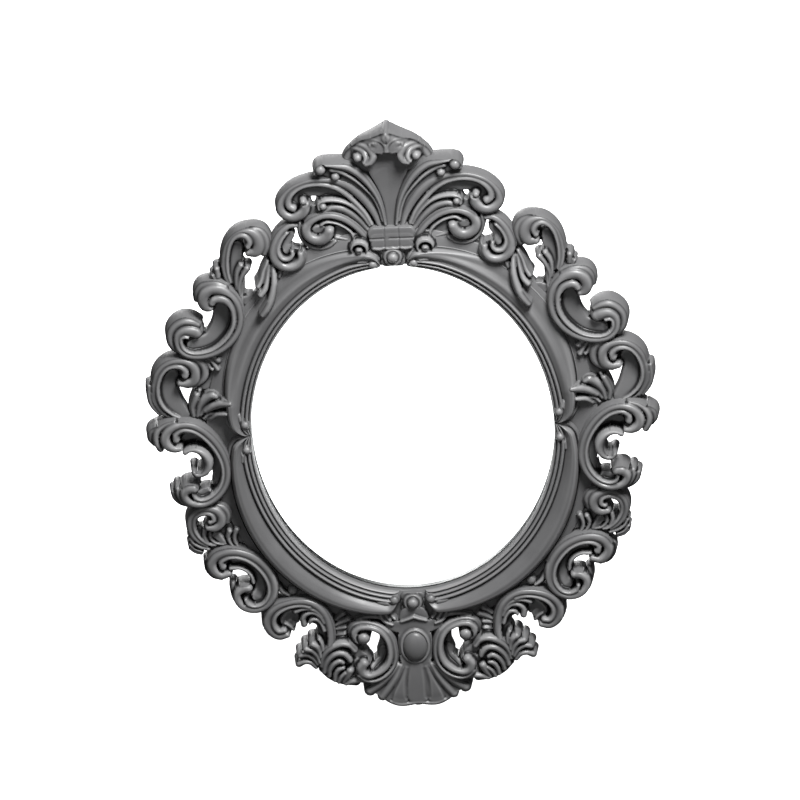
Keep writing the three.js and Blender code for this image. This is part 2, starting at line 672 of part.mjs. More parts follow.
    strokes: [
      [[-89, -255, 5, 28], [-88, -244, 5.6, 31], [-82, -236, 5.6, 32], [-73, -233.5, 5.4, 32],
        [-65, -238, 4.6, 31]],
      [[-79, -262, 5, 27], [-79, -250, 5.4, 30], [-72, -246, 4.4, 32]],
      [[-70, -265.5, 4.4, 27], [-66, -257, 5.2, 31]],
      [[-65, -267, 3.6, 26], [-53, -268, 3.6, 27]],
      [[-84, -226, 4, 20], [-76, -221, 4, 20], [-72, -216, 3.4, 20], [-74, -204, 4, 20],
        [-69.5, -196, 3.6, 21]],
      [[-74, -206, 3, 19], [-64, -201, 3.8, 21]],
    ],
  },
];

// Symmetrical ornaments: their strokes are drawn on the left and repeated on the right.
const hoodStrokes = [
  [[0, 99, 7, 26], [-14, 90, 7, 28], [-28, 84, 6.5, 28], [-38, 78, 6, 26]],
  [[0, 89, 6, 31], [-12, 88, 6, 31], [-21, 82, 5, 30], [-29, 79, 5, 28]],
];
const shellStrokes = [
  [[0, 8, 9, 25], [0, -6, 14, 26], [0, -24, 15, 26], [0, -42, 12, 27], [0, -54, 13, 27],
    [0, -65, 14, 27]],
  [[-11, -36, 4, 27], [-22, -51, 5, 28], [-34, -59, 5, 28], [-45, -65.5, 3.6, 28]],
  [[-8, -40, 4, 27], [-18, -56, 6, 27], [-28, -68, 5, 28]],
  [[-8, -54, 5, 27], [-16, -73, 5, 27]],
];
const panelOutline = [[-24, 84], [-15, 57], [-9.5, 42], [-5.5, 27], [-3, 0]];
const collarRows = [[20, -21, 22], [22, -10, 25], [23, 1, 19]];
const cabochonHalfWidth = 12;
const cabochonHalfHeight = 16;
const cabochonCentre = -18;
const cabochonRows = [[1, 26.5], [0.8, 30.5], [0.4, 33]];
const cabochonSides = 16;
const cabochonPocketHeight = 20;

function seatShift({ angle, radius = 0 }) {
  const turn = radians(angle);
  const shift = edgeRadius(ringHalfWidth, ringHalfHeight, turn) - radius;
  return [shift * Math.cos(turn), shift * Math.sin(turn)];
}

function seated(strokes, seat) {
  const [shiftX, shiftZ] = seatShift(seat);
  return strokes.map((points) =>
    points.map(([x, z, halfWidth, height]) => [x + shiftX, z + shiftZ, halfWidth, height]));
}

function bothSides(strokes) {
  const right = strokes.map((points) =>
    points.map(([x, z, halfWidth, height]) => [-x, z, halfWidth, height]));
  return [...strokes, ...right];
}

// A plate between the panel's two edges, drawn from the bottom up.
function panelPlate(grow, low, high) {
  const [, shiftZ] = seatShift(crestSeat);
  const loops = panelOutline.slice().reverse().map(([x, z]) => {
    const reach = -x + grow;
    return [at(-reach, z + shiftZ, low), at(reach, z + shiftZ, low), at(reach, z + shiftZ, high),
      at(-reach, z + shiftZ, high)];
  });
  return loft(loops);
}

// The collar's rows widen upwards and slope back at the top.
function collarSolid(grow, raised) {
  const [, shiftZ] = seatShift(crestSeat);
  const loops = collarRows.map(([halfWidth, z, height], row) => {
    const end = row === 0 ? -grow : (row === collarRows.length - 1 ? grow : 0);
    const reach = halfWidth + grow;
    const top = raised ? cutterHeight : height;
    return [at(-reach, z + shiftZ + end, raised ? -1 : 0), at(reach, z + shiftZ + end, raised ? -1 : 0),
      at(reach, z + shiftZ + end, top), at(-reach, z + shiftZ + end, top)];
  });
  return loft(loops);
}

function cabochonLoop(halfWidth, halfHeight, height) {
  const [, shiftZ] = seatShift(pendantSeat);
  const loop = [];
  for (let i = 0; i < cabochonSides; i += 1) {
    const point = ovalPoint(halfWidth, halfHeight, (2 * Math.PI * i) / cabochonSides);
    loop.push(at(point.x, point.y + cabochonCentre + shiftZ, height));
  }
  return loop;
}

// A low oval dome let into a pocket of the shell, in rows that draw in as they rise.
function cabochon() {
  const rows = [[1, cabochonPocketHeight + fitGap], ...cabochonRows];
  return loft(rows.map(([share, height]) =>
    cabochonLoop(share * cabochonHalfWidth, share * cabochonHalfHeight, height)));
}

function cabochonPocket() {
  const halfWidth = cabochonHalfWidth + fitGap;
  const halfHeight = cabochonHalfHeight + fitGap;
  return loft([
    cabochonLoop(halfWidth, halfHeight, cabochonPocketHeight),
    cabochonLoop(halfWidth, halfHeight, cutterHeight),
  ]);
}

// What the carcass takes from the carving: the ring with its fit gap, and the mouldings above it.
function carcassCutter() {
  const ring = ovalPlate(ringHalfWidth + fitGap, ringHalfHeight + fitGap, -1, ringDepth + fitGap);
  const quarters = [upperCrescent, lowerCrescent].flatMap((crescent) => {
    const right = mouldingSpace(crescent);
    return [right, mirrored(right)];
  });
  return join([ring, ...quarters, bossSpace(1), bossSpace(-1)]);
}

function mouldingSpace({ vertical, skew, fullness }) {
  const loops = [];
  for (let i = 0; i <= mouldingSteps; i += 1) {
    const share = i / mouldingSteps;
    const angle = (Math.PI / 2) * share;
    const edge = ovalPoint(sightHalfWidth, sightHalfHeight, angle);
    const outward = ovalPoint(sightHalfHeight, sightHalfWidth, angle).normalize();
    const outer = mouldingWidth(share, skew, fullness) + mouldingClearance;
    const inner = -rebateWidth;
    const section = [[inner, 1], [inner, cutterHeight], [outer, cutterHeight], [outer, 1]];
    loops.push(section.map(([offset, height]) => {
      const point = edge.clone().addScaledVector(outward, offset);
      return at(point.x, vertical * point.y, height);
    }));
  }
  return loft(loops);
}

// Carves the ornaments in order, each one cut back from those before it.
function carvedOrnaments() {
  const solids = [];
  const cutters = [];
  const carcass = carcassCutter();
  const carve = (name, blank, cutter) => {
    const shape = simplified(blank, shapeTolerance);
    const cut = cutters.filter((taken) => touching(shape, taken))
      .reduce((rest, taken) => rest.subtract(taken), shape);
    solids.push([name, largestBody(simplified(cut.subtract(carcass), cutTolerance))]);
    cutters.push(simplified(cutter, cutTolerance));
  };
  const hood = bothSides(seated(hoodStrokes, crestSeat));
  const shell = bothSides(seated(shellStrokes, pendantSeat));
  carve('pendant_shell', join(shell.map(stroke)).subtract(cabochonPocket()), join(shell.map(strokeCutter)));
  carve('crest_hood', join(hood.map(stroke)), join(hood.map(strokeCutter)));
  carve('crest_collar', collarSolid(0, false), collarSolid(fitGap, true));
  carve('crest_panel', panelPlate(0, 0, panelHeight), panelPlate(fitGap, -1, cutterHeight));
  for (const { name, seat, strokes } of ornaments) {
    const drawn = seated(strokes, seat);
    carve(name, join(drawn.map(stroke)), join(drawn.map(strokeCutter)));
  }
  return solids;
}

function touching(solid, other) {
  const a = solid.boundingBox();
  const b = other.boundingBox();
  return [0, 1, 2].every((axis) => a.min[axis] < b.max[axis] && b.min[axis] < a.max[axis]);
}

// Back hardware

// A turn button: a flat finger with a round heel on its screw, pointing at the opening.
function turnButton({ angle, x, z }) {
  const shape = new THREE.Shape();
  shape.absarc(0, 0, buttonPivotRadius, Math.PI / 2, (3 * Math.PI) / 2, false);
  shape.lineTo(buttonReach, -buttonTipRadius);
  shape.absarc(buttonReach, 0, buttonTipRadius, -Math.PI / 2, Math.PI / 2, false);
  shape.closePath();
  const hole = new THREE.Path();
  hole.absarc(0, 0, screwHoleRadius, 0, 2 * Math.PI, true);
  shape.holes.push(hole);
  const geometry = new THREE.ExtrudeGeometry(shape, {
    depth: buttonThickness, bevelEnabled: false, curveSegments: 5 });
  geometry.rotateX(Math.PI / 2);
  geometry.rotateY(-(angle + Math.PI));
  geometry.translate(x, buttonThickness + fitGap, z);
  return solidFromGeometry(geometry);
}

// A pan-head screw driven in from the back, its head on a plate of a given thickness.
function screw(x, z, seatDepth) {
  const profile = [
    new THREE.Vector2(0, -screwLength - seatDepth),
    new THREE.Vector2(screwShankRadius, -screwLength - seatDepth + screwShankRadius),
    new THREE.Vector2(screwShankRadius, 0),
    new THREE.Vector2(screwHeadRadius, 0),
    new THREE.Vector2(screwHeadRadius * 0.75, screwHeadHeight),
    new THREE.Vector2(0, screwHeadHeight),
  ];
  const geometry = new THREE.LatheGeometry(profile, 8);
  geometry.translate(x, seatDepth, z);
  return solidFromGeometry(geometry);
}

// A cylinder along X, for the hanger's knuckle.
function crossPin(x, y, z, radius, length) {
  const geometry = new THREE.CylinderGeometry(radius, radius, length, 10);
  geometry.rotateZ(Math.PI / 2);
  geometry.translate(x, y, z);
  return solidFromGeometry(geometry);
}

function hangerPlate({ x, z }) {
  const axisDepth = fitGap + knuckleRadius;
  const strap = block(x, z - strapLength / 2, -fitGap - strapThickness, -fitGap, strapWidth, strapLength);
  const knuckle = crossPin(x, axisDepth, z, knuckleRadius, knuckleWidth);
  const bore = crossPin(x, axisDepth, z, hangerWireRadius + fitGap, strapWidth + 2);
  const hole = drum(x, z - hangerScrewDrop, screwHoleRadius, -2 * knuckleRadius, 1, screwHoleRadius, 8);
  return strap.add(knuckle).subtract(bore).subtract(hole);
}

// The wire ring: a straight bar in the knuckle and a round bow that hangs below it.
function hangerRing({ x, z }) {
  const axisDepth = fitGap + knuckleRadius;
  const halfWidth = hangerRingWidth / 2 - hangerWireRadius;
  const drop = hangerRingLength - 2 * hangerWireRadius;
  const centres = [];
  for (let i = 0; i <= hangerBowSteps; i += 1) {
    const angle = (Math.PI * i) / hangerBowSteps;
    const fall = drop * Math.sin(angle) ** hangerBowFullness;
    centres.push(new THREE.Vector2(halfWidth * Math.cos(angle), -fall));
  }
  const sides = 6;
  const loops = centres.map((centre, index) => {
    const before = centres[(index + centres.length - 1) % centres.length];
    const after = centres[(index + 1) % centres.length];
    const along = after.clone().sub(before).normalize();
    const across = new THREE.Vector2(-along.y, along.x);
    const loop = [];
    for (let i = 0; i < sides; i += 1) {
      const angle = (2 * Math.PI * i) / sides;
      const reach = hangerWireRadius * Math.cos(angle);
      loop.push(new THREE.Vector3(x + centre.x + across.x * reach,
        axisDepth + hangerWireRadius * Math.sin(angle), z + centre.y + across.y * reach));
    }
    return loop;
  });
  return closedTube(loops);
}

// A tube whose last loop joins its first.
function closedTube(loops) {
  const count = loops[0].length;
  const positions = loops.flat().flatMap((point) => [point.x, point.y, point.z]);
  const triangles = [];
  for (let loop = 0; loop < loops.length; loop += 1) {
    const next = (loop + 1) % loops.length;
    for (let i = 0; i < count; i += 1) {
      const j = (i + 1) % count;
      const [a, b, c, d] = [loop * count + i, loop * count + j, next * count + j, next * count + i];
      triangles.push(a, b, c, a, c, d);
    }
  }
  return solidFrom(positions, triangles);
}

// Materials

const satinGrey = new THREE.MeshStandardMaterial({ color: 0x5a5a5b, roughness: 0.5, metalness: 0 });
const clearGlass = new THREE.MeshStandardMaterial({
  color: 0xe8f0f0, roughness: 0.05, metalness: 0, transparent: true, opacity: 0.2 });
const brass = new THREE.MeshStandardMaterial({ color: 0xb08d3c, roughness: 0.35, metalness: 1 });
const zincSteel = new THREE.MeshStandardMaterial({ color: 0xb4b7ba, roughness: 0.35, metalness: 1 });

// The scene

const frame = new THREE.Group();

function add(name, solid, material) {
  const { vertProperties, triVerts } = solid.getMesh();
  const geometry = new THREE.BufferGeometry();
  geometry.setAttribute('position', new THREE.BufferAttribute(vertProperties, 3));
  geometry.setIndex(new THREE.BufferAttribute(triVerts, 1));
  const mesh = new THREE.Mesh(geometry, material);
  mesh.name = name;
  frame.add(mesh);
}

function addPair(name, leftSolid, material) {
  add(`${name}_left`, leftSolid, material);
  add(`${name}_right`, mirrored(leftSolid), material);
}

for (const [name, solid] of ringSegments()) add(name, solid, satinGrey);
add('glass', glassPane(), clearGlass);
add('retaining_ring', retainingRing(), satinGrey);

addPair('moulding_upper', mirrored(moulding(upperCrescent)), satinGrey);
addPair('moulding_lower', mirrored(moulding(lowerCrescent)), satinGrey);
add('bead_top', boss(1), satinGrey);
add('bead_bottom', boss(-1), satinGrey);

const single = new Set(['pendant_shell', 'crest_hood', 'crest_collar', 'crest_panel']);
for (const [name, solid] of carvedOrnaments()) {
  if (single.has(name)) add(name, solid, satinGrey);
  else addPair(name, solid, satinGrey);
}
add('pendant_cabochon', cabochon(), satinGrey);

buttonPivots().forEach((pivot, index) => {
  add(`turn_button_${index + 1}`, turnButton(pivot), brass);
  add(`turn_button_screw_${index + 1}`, screw(pivot.x, pivot.z, buttonThickness + 2 * fitGap), brass);
});

for (const [side, name] of [[-1, 'left'], [1, 'right']]) {
  const place = hangerPlace(side);
  const screwSeat = strapThickness + 2 * fitGap;
  add(`hanger_plate_${name}`, hangerPlate(place), zincSteel);
  add(`hanger_ring_${name}`, hangerRing(place), zincSteel);
  add(`hanger_screw_${name}`, screw(place.x, place.z - hangerScrewDrop, screwSeat), zincSteel);
}

export default frame;
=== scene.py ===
# A carved oval picture frame, dressed for close views. Sizes are in millimetres and become metres when a mesh
# is made. X runs to the right, Z up and the carved front faces -Y; a height is measured from the back plane.

import itertools

import bpy
import numpy as np
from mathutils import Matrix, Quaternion, Vector


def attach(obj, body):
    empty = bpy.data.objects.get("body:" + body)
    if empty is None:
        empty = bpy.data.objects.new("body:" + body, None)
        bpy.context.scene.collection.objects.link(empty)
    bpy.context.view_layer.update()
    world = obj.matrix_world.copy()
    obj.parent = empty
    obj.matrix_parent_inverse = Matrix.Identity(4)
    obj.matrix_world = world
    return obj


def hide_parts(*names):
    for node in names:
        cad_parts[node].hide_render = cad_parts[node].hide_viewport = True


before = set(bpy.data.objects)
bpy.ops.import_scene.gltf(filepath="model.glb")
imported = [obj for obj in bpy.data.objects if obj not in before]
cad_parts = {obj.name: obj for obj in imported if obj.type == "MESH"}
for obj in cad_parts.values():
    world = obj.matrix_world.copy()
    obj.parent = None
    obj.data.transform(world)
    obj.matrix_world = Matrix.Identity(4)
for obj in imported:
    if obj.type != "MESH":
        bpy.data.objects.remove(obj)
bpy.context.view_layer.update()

# Carcass
# The oval ring that carries everything is sawn from four curved boards, joined end to end and rebated at the
# back for the glass. It is filled, sanded and finished in the same satin dark grey as the carving.

METRE = 0.001
SIGHT_HALF_WIDTH = 151.5
SIGHT_HALF_HEIGHT = 176
RING_HALF_WIDTH = 196
RING_HALF_HEIGHT = 216
RING_DEPTH = 15
REBATE_WIDTH = 6
REBATE_DEPTH = 10
FIT_GAP = 0.3
ARRIS = 0.5
RING_STEPS = 96
MARKS_STRETCH = (1, 0.03, 1)
WALL_RAMP = (0.5, 0.1)
MOTTLE_RAMP = (0.3, 0.7)


def group_tree(name, input_name, output_name):
    """A node group with one number in and one out: its tree, the input's value and the output's socket."""
    tree = bpy.data.node_groups.new(name, "ShaderNodeTree")
    tree.interface.new_socket(input_name, in_out="INPUT", socket_type="NodeSocketFloat")
    tree.interface.new_socket(output_name, in_out="OUTPUT", socket_type="NodeSocketFloat")
    inputs = tree.nodes.new("NodeGroupInput")
    outputs = tree.nodes.new("NodeGroupOutput")
    return tree, inputs.outputs[input_name], outputs.inputs[output_name]


def mask_ramp(tree, value, low, high):
    """A node that runs from 0 to 1 while a value runs from low to high."""
    ramp = tree.nodes.new("ShaderNodeMapRange")
    ramp.inputs["From Min"].default_value = low
    ramp.inputs["From Max"].default_value = high
    tree.links.new(value, ramp.inputs["Value"])
    return ramp.outputs["Result"]


def tool_marks_group():
    """Wall marks: noise drawn out along the depth, shown only where a face turns away from the front."""
    tree, spacing, marks_out = group_tree("tool_marks", "Spacing", "Marks")
    coordinate = tree.nodes.new("ShaderNodeTexCoord")
    stretch = tree.nodes.new("ShaderNodeVectorMath")
    stretch.operation = "MULTIPLY"
    stretch.inputs[1].default_value = MARKS_STRETCH
    tree.links.new(coordinate.outputs["Object"], stretch.inputs[0])
    noise = tree.nodes.new("ShaderNodeTexNoise")
    noise.inputs["Detail"].default_value = 2
    tree.links.new(stretch.outputs["Vector"], noise.inputs["Vector"])
    tree.links.new(spacing, noise.inputs["Scale"])
    split = tree.nodes.new("ShaderNodeSeparateXYZ")
    tree.links.new(coordinate.outputs["Normal"], split.inputs["Vector"])
    turned = tree.nodes.new("ShaderNodeMath")
    turned.operation = "ABSOLUTE"
    tree.links.new(split.outputs["Y"], turned.inputs[0])
    wall = mask_ramp(tree, turned.outputs["Value"], *WALL_RAMP)
    marks = tree.nodes.new("ShaderNodeMath")
    marks.operation = "MULTIPLY"
    tree.links.new(noise.outputs["Fac"], marks.inputs[0])
    tree.links.new(wall, marks.inputs[1])
    tree.links.new(marks.outputs["Value"], marks_out)
    return tree


def mottle_group():
    """Uneven colour: noise with its middle range drawn out, as a mask from 0 to 1."""
    tree, size, mask_out = group_tree("mottle", "Size", "Mask")
    coordinate = tree.nodes.new("ShaderNodeTexCoord")
    noise = tree.nodes.new("ShaderNodeTexNoise")
    noise.inputs["Detail"].default_value = 5
    noise.inputs["Roughness"].default_value = 0.6
    tree.links.new(coordinate.outputs["Object"], noise.inputs["Vector"])
    tree.links.new(size, noise.inputs["Scale"])
    tree.links.new(mask_ramp(tree, noise.outputs["Fac"], *MOTTLE_RAMP), mask_out)
    return tree


tool_marks = tool_marks_group()
mottle = mottle_group()

GREY_FACE = (0.122, 0.122, 0.124, 1)
# Near black, painted into hollows and creases as painted shade.
GREY_PAINTED_SHADE = (0.01, 0.01, 0.0105, 1)
# A lighter grey for crests: partly wear, partly painted highlight.
GREY_CREST_WEAR_AND_HIGHLIGHT = (0.21, 0.21, 0.212, 1)
GREY_DULLED = 0.9
HOLLOW_RAMP = (0.0, 0.75)
CREST_RAMP = (-0.05, -0.6)
GREY_ROUGH_RAMP = (-1.6, 3.4)
GREY_MOTTLE = 28
MARK_SPACING = 700
MARK_STRENGTH = 0.35
MARK_DEPTH = 0.4


def blend_colour(tree, mask, first, second):
    """A colour that runs from the first to the second with a mask."""
    mix = tree.nodes.new("ShaderNodeMix")
    mix.data_type = "RGBA"
    tree.links.new(mask, mix.inputs["Factor"])
    for colour, socket in ((first, mix.inputs["A"]), (second, mix.inputs["B"])):
        if isinstance(colour, tuple):
            socket.default_value = colour
        else:
            tree.links.new(colour, socket)
    return mix.outputs["Result"]


def group_node(tree, group, **values):
    """A placed node group with its inputs set by name."""
    node = tree.nodes.new("ShaderNodeGroup")
    node.node_tree = group
    for name, value in values.items():
        node.inputs[name].default_value = value
    return node


def dulled(colour, share):
    """A colour darkened by a share, with its last value left at 1."""
    return tuple(share * part for part in colour[:3]) + (1,)


def new_material(name):
    """A material with its node tree and its shader."""
    material = bpy.data.materials.new(name)
    material.use_nodes = True
    return material, material.node_tree, material.node_tree.nodes["Principled BSDF"]


def satin_grey_material():
    """Satin grey paint, with painted shade near black in the hollows and a lighter grey on the crests that is
    partly wear and partly painted highlight, both set by the relief attribute.
    """
    material, tree, shader = new_material("satin_grey_with_painted_shade")
    relief = tree.nodes.new("ShaderNodeAttribute")
    relief.attribute_name = "relief"
    hollow = mask_ramp(tree, relief.outputs["Fac"], *HOLLOW_RAMP)
    crest = mask_ramp(tree, relief.outputs["Fac"], *CREST_RAMP)
    uneven = group_node(tree, mottle, Size=GREY_MOTTLE)
    face = blend_colour(tree, uneven.outputs["Mask"], dulled(GREY_FACE, GREY_DULLED), GREY_FACE)
    # Crests lighten by the relief value: partly wear, partly painted highlight.
    crest_wear_and_highlight = blend_colour(tree, crest, face, GREY_CREST_WEAR_AND_HIGHLIGHT)
    # Painted shade: hollows and creases turn near black by the relief value.
    tree.links.new(blend_colour(tree, hollow, crest_wear_and_highlight, GREY_PAINTED_SHADE), shader.inputs["Base Color"])
    rough_ramp = mask_ramp(tree, uneven.outputs["Mask"], *GREY_ROUGH_RAMP)
    tree.links.new(rough_ramp, shader.inputs["Roughness"])
    shader.inputs["Specular IOR Level"].default_value = 0.5
    marks = group_node(tree, tool_marks, Spacing=MARK_SPACING)
    bump = tree.nodes.new("ShaderNodeBump")
    bump.inputs["Strength"].default_value = MARK_STRENGTH
    bump.inputs["Distance"].default_value = MARK_DEPTH * METRE
    tree.links.new(marks.outputs["Marks"], bump.inputs["Height"])
    tree.links.new(bump.outputs["Normal"], shader.inputs["Normal"])
    return material


satin_grey = satin_grey_material()


def quads(rows, columns, wrap_rows=False, wrap_columns=False):
    """Faces of a grid of points: each quad joins a point, its two next neighbours and the one across."""
    index = np.arange(rows * columns).reshape(rows, columns)
    down = np.roll(index, -1, axis=0)
    right = np.roll(index, -1, axis=1)
    across = np.roll(down, -1, axis=1)
    faces = np.stack([index, right, across, down], axis=-1)
    return faces[: rows if wrap_rows else rows - 1, : columns if wrap_columns else columns - 1].reshape(-1, 4)


def make_piece(name, points, faces, material, body, replaced, relief=None, sharp=40):
    """Puts points, in millimetres, and quads or triangles into one smooth mesh that rides on a body."""
    mesh = bpy.data.meshes.new(name)
    mesh.vertices.add(len(points))
    mesh.vertices.foreach_set("co", (points * METRE).astype(np.float32).ravel())
    mesh.loops.add(faces.size)
    mesh.loops.foreach_set("vertex_index", faces.astype(np.int32).ravel())
    mesh.polygons.add(len(faces))
    mesh.polygons.foreach_set("loop_start", np.arange(0, faces.size, faces.shape[1], dtype=np.int32))
    mesh.update(calc_edges=True)
    mesh.validate()
    mesh.polygons.foreach_set("use_smooth", np.ones(len(mesh.polygons), bool))
    mesh.set_sharp_from_angle(angle=np.radians(sharp))
    attribute = mesh.attributes.new("relief", "FLOAT", "POINT")
    if relief is not None:
        attribute.data.foreach_set("value", relief.astype(np.float32))
    mesh.materials.append(material)
    piece = bpy.data.objects.new(name, mesh)
    bpy.context.scene.collection.objects.link(piece)
    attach(piece, body)
    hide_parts(*replaced)
    return piece


def oval(half_width, half_height, angle):
    """X and Z of the point of an oval at an angle."""
    return half_width * np.cos(angle), half_height * np.sin(angle)


def sight_edge(angles):
    """X and Z of points on the sight oval, and of the unit directions that point straight out from it: the
    normal of an oval at an angle is the oval with its two half sizes exchanged, divided by its length."""
    x, z = oval(SIGHT_HALF_WIDTH, SIGHT_HALF_HEIGHT, angles)
    out_x, out_z = oval(SIGHT_HALF_HEIGHT, SIGHT_HALF_WIDTH, angles)
    length = np.hypot(out_x, out_z)
    return x, z, out_x / length, out_z / length


def oval_band(angles, profile):
    """Carries a closed section along the sight oval: section points are an offset outward and a height."""
    x, z, out_x, out_z = (value[:, None] for value in sight_edge(angles))
    offset, height = profile
    return np.stack([x + out_x * offset, -height + 0 * x, z + out_z * offset], axis=-1)


def capped(points, flip=False):
    """Points and triangles of a bar: a grid of closed sections, with a fan of triangles over each end."""
    rows, columns, _ = points.shape
    faces = quads(rows, columns, wrap_columns=True)
    centres = np.stack([points[0].mean(axis=0), points[-1].mean(axis=0)])
    ring = np.arange(columns)
    after = np.roll(ring, -1)
    last = (rows - 1) * columns
    first_cap = np.stack([after, ring, np.full(columns, rows * columns)], axis=-1)
    last_cap = np.stack([ring + last, after + last, np.full(columns, rows * columns + 1)], axis=-1)
    triangles = np.concatenate([first_cap, last_cap])
    split = np.concatenate([faces[:, [0, 1, 2]], faces[:, [0, 2, 3]], triangles])
    return np.concatenate([points.reshape(-1, 3), centres]), split[:, ::-1] if flip else split


def ring_profile(angles):
    """The carcass section at each angle: sight edge, front, outer edge, back and rebate, with eased arrises.
    Its width is the offset along the normal that meets the outer oval: the larger root of a quadratic."""
    x, z, out_x, out_z = sight_edge(angles)
    a = (out_x / RING_HALF_WIDTH) ** 2 + (out_z / RING_HALF_HEIGHT) ** 2
    b = x * out_x / RING_HALF_WIDTH ** 2 + z * out_z / RING_HALF_HEIGHT ** 2
    c = (x / RING_HALF_WIDTH) ** 2 + (z / RING_HALF_HEIGHT) ** 2 - 1
    width = ((-b + np.sqrt(b * b - a * c)) / a)[:, None]
    zero = 0 * width
    offset = np.concatenate([zero, zero, zero + ARRIS, width - ARRIS, width, width, width - ARRIS,
                             zero + REBATE_WIDTH, zero + REBATE_WIDTH], axis=1)
    height = np.array([REBATE_DEPTH, RING_DEPTH - ARRIS, RING_DEPTH, RING_DEPTH, RING_DEPTH - ARRIS,
                       ARRIS, 0, 0, REBATE_DEPTH])
    return offset, height[None, :]


BODY = "frame"
JOINT_HALF_GAP = 0.0006

for ring_name, middle in (("right", 0), ("top", 90), ("left", 180), ("bottom", 270)):
    joint_before = np.radians(middle - 45) + JOINT_HALF_GAP
    joint_after = np.radians(middle + 45) - JOINT_HALF_GAP
    along = np.linspace(joint_before, joint_after, RING_STEPS)
    ring_points, ring_faces = capped(oval_band(along, ring_profile(along)))
    make_piece(f"carcass_{ring_name}", ring_points, ring_faces, satin_grey, BODY,
               [f"ring_{ring_name}"], sharp=50)

# Glass and retaining ring
# A clear pane lies in the rebate, and a thin oval slip behind it keeps it in. The slip is bent from one strip
# and finished like the carcass, and its joint with the carcass shows as a line inside the opening.

GLASS_THICKNESS = 2
GLASS_ARRIS = 0.3
SLIP_ARRIS = 0.3
GLASS_TINT = (0.97, 0.99, 0.985, 1)
GLASS_BEND = 1.02
GLASS_MOTTLE = 9
GLASS_ROUGH_RAMP = (-0.2, 60)


def clear_glass_material():
    """Clear glass with a faint green tint, little bending of light and a slight unevenness in its gloss."""
    material, tree, shader = new_material("clear_glass")
    shader.inputs["Base Color"].default_value = GLASS_TINT
    shader.inputs["Transmission Weight"].default_value = 1
    shader.inputs["IOR"].default_value = GLASS_BEND
    uneven = group_node(tree, mottle, Size=GLASS_MOTTLE)
    rough_ramp = mask_ramp(tree, uneven.outputs["Mask"], *GLASS_ROUGH_RAMP)
    tree.links.new(rough_ramp, shader.inputs["Roughness"])
    return material


clear_glass = clear_glass_material()
turn = np.linspace(0, 2 * np.pi, 4 * RING_STEPS, endpoint=False)
pane_reach = REBATE_WIDTH - FIT_GAP
pane_high = REBATE_DEPTH - FIT_GAP
pane_low = pane_high - GLASS_THICKNESS


def oval_disc(loops):
    """A closed disc from oval loops, each one an offset from the sight oval and a height, with flat ends."""
    offsets, heights = np.array(loops, float).T
    x, z = oval(1, 1, turn)
    half_x = (SIGHT_HALF_WIDTH + offsets)[:, None]
    half_z = (SIGHT_HALF_HEIGHT + offsets)[:, None]
    rows = np.stack([half_x * x, -heights[:, None] + 0 * x, half_z * z], axis=-1)
    return capped(rows)


pane_points, pane_faces = oval_disc([
    (pane_reach - GLASS_ARRIS, pane_low), (pane_reach, pane_low + GLASS_ARRIS),
    (pane_reach, pane_high - GLASS_ARRIS), (pane_reach - GLASS_ARRIS, pane_high)])
make_piece("clear_pane", pane_points, pane_faces, clear_glass, BODY, ["glass"])

slip_high = pane_low - FIT_GAP
slip_offsets = np.array([[SLIP_ARRIS, 0, 0, SLIP_ARRIS,
                          pane_reach - SLIP_ARRIS, pane_reach, pane_reach, pane_reach - SLIP_ARRIS]])
slip_heights = np.array([[slip_high, slip_high - SLIP_ARRIS, SLIP_ARRIS, 0,
                          0, SLIP_ARRIS, slip_high - SLIP_ARRIS, slip_high]])
slip_points = oval_band(turn, (slip_offsets, slip_heights))
slip_faces = quads(*slip_points.shape[:2], wrap_rows=True, wrap_columns=True)
make_piece("picture_slip", slip_points.reshape(-1, 3), slip_faces[:, ::-1], satin_grey, BODY,
           ["retaining_ring"])

# Sight mouldings
# Four crescents run round the opening: a lip, fine beads, a broad wave and a thin fillet, carved in wood and
# glued to the carcass. Each end rolls over into a round bulb beside its neighbour or beside the boss.

MOULDING_SEAT = 15.3
MOULDING_END_WIDTH = 15
MOULDING_MID_WIDTH = 37
BEAD_BLOCK = 11.5
BLOCK_SHARE = 0.45
MOULDING_ROWS = 150
CELL = 0.5
REACH = 2.5
EDGE = 0.3
ROUTE_STEP = 1.3
DOT_LENGTH = 0.02
WALL_DRAFT = 2
WALL_ROUND = 0.4
ROUND_SHARE = 0.7
ROUND_LIMIT = 0.3
DRAFT_HEIGHT = 30
SHELL_MARGIN = 3
SHELL_SINK = 0.5
HOLLOW_BLUR = 24
HOLLOW_DEPTH = 1.6


def smooth_line(knots, values, at):
    """A smooth curve through values at knots: cubic spans whose slopes are the differences on both sides."""
    knots = np.asarray(knots, float)
    values = np.asarray(values, float)
    slopes = np.gradient(values, knots, axis=0)
    span = np.clip(np.searchsorted(knots, at, side="right") - 1, 0, len(knots) - 2)
    width = knots[span + 1] - knots[span]
    share = (at - knots[span]) / width
    if values.ndim > 1:
        width, share = width[:, None], share[:, None]
    rise = share * share * (3 - 2 * share)
    return ((1 - rise) * values[span] + rise * values[span + 1]
            + width * share * (1 - share) * ((1 - share) * slopes[span] - share * slopes[span + 1]))


def through(points):
    """A route through points of X, Z, half width and height, sampled at steps of about ROUTE_STEP. Its knots
    are spaced by the square roots of the gaps, and one point alone becomes a very short route."""
    points = np.array(points, float)
    if len(points) == 1:
        return np.concatenate([points, points + [DOT_LENGTH, 0, 0, 0]])
    gaps = np.hypot(*np.diff(points[:, :2], axis=0).T)
    knots = np.concatenate([[0], np.cumsum(np.sqrt(gaps))])
    return smooth_line(knots, points, np.linspace(0, knots[-1], int(gaps.sum() / ROUTE_STEP) + 3))


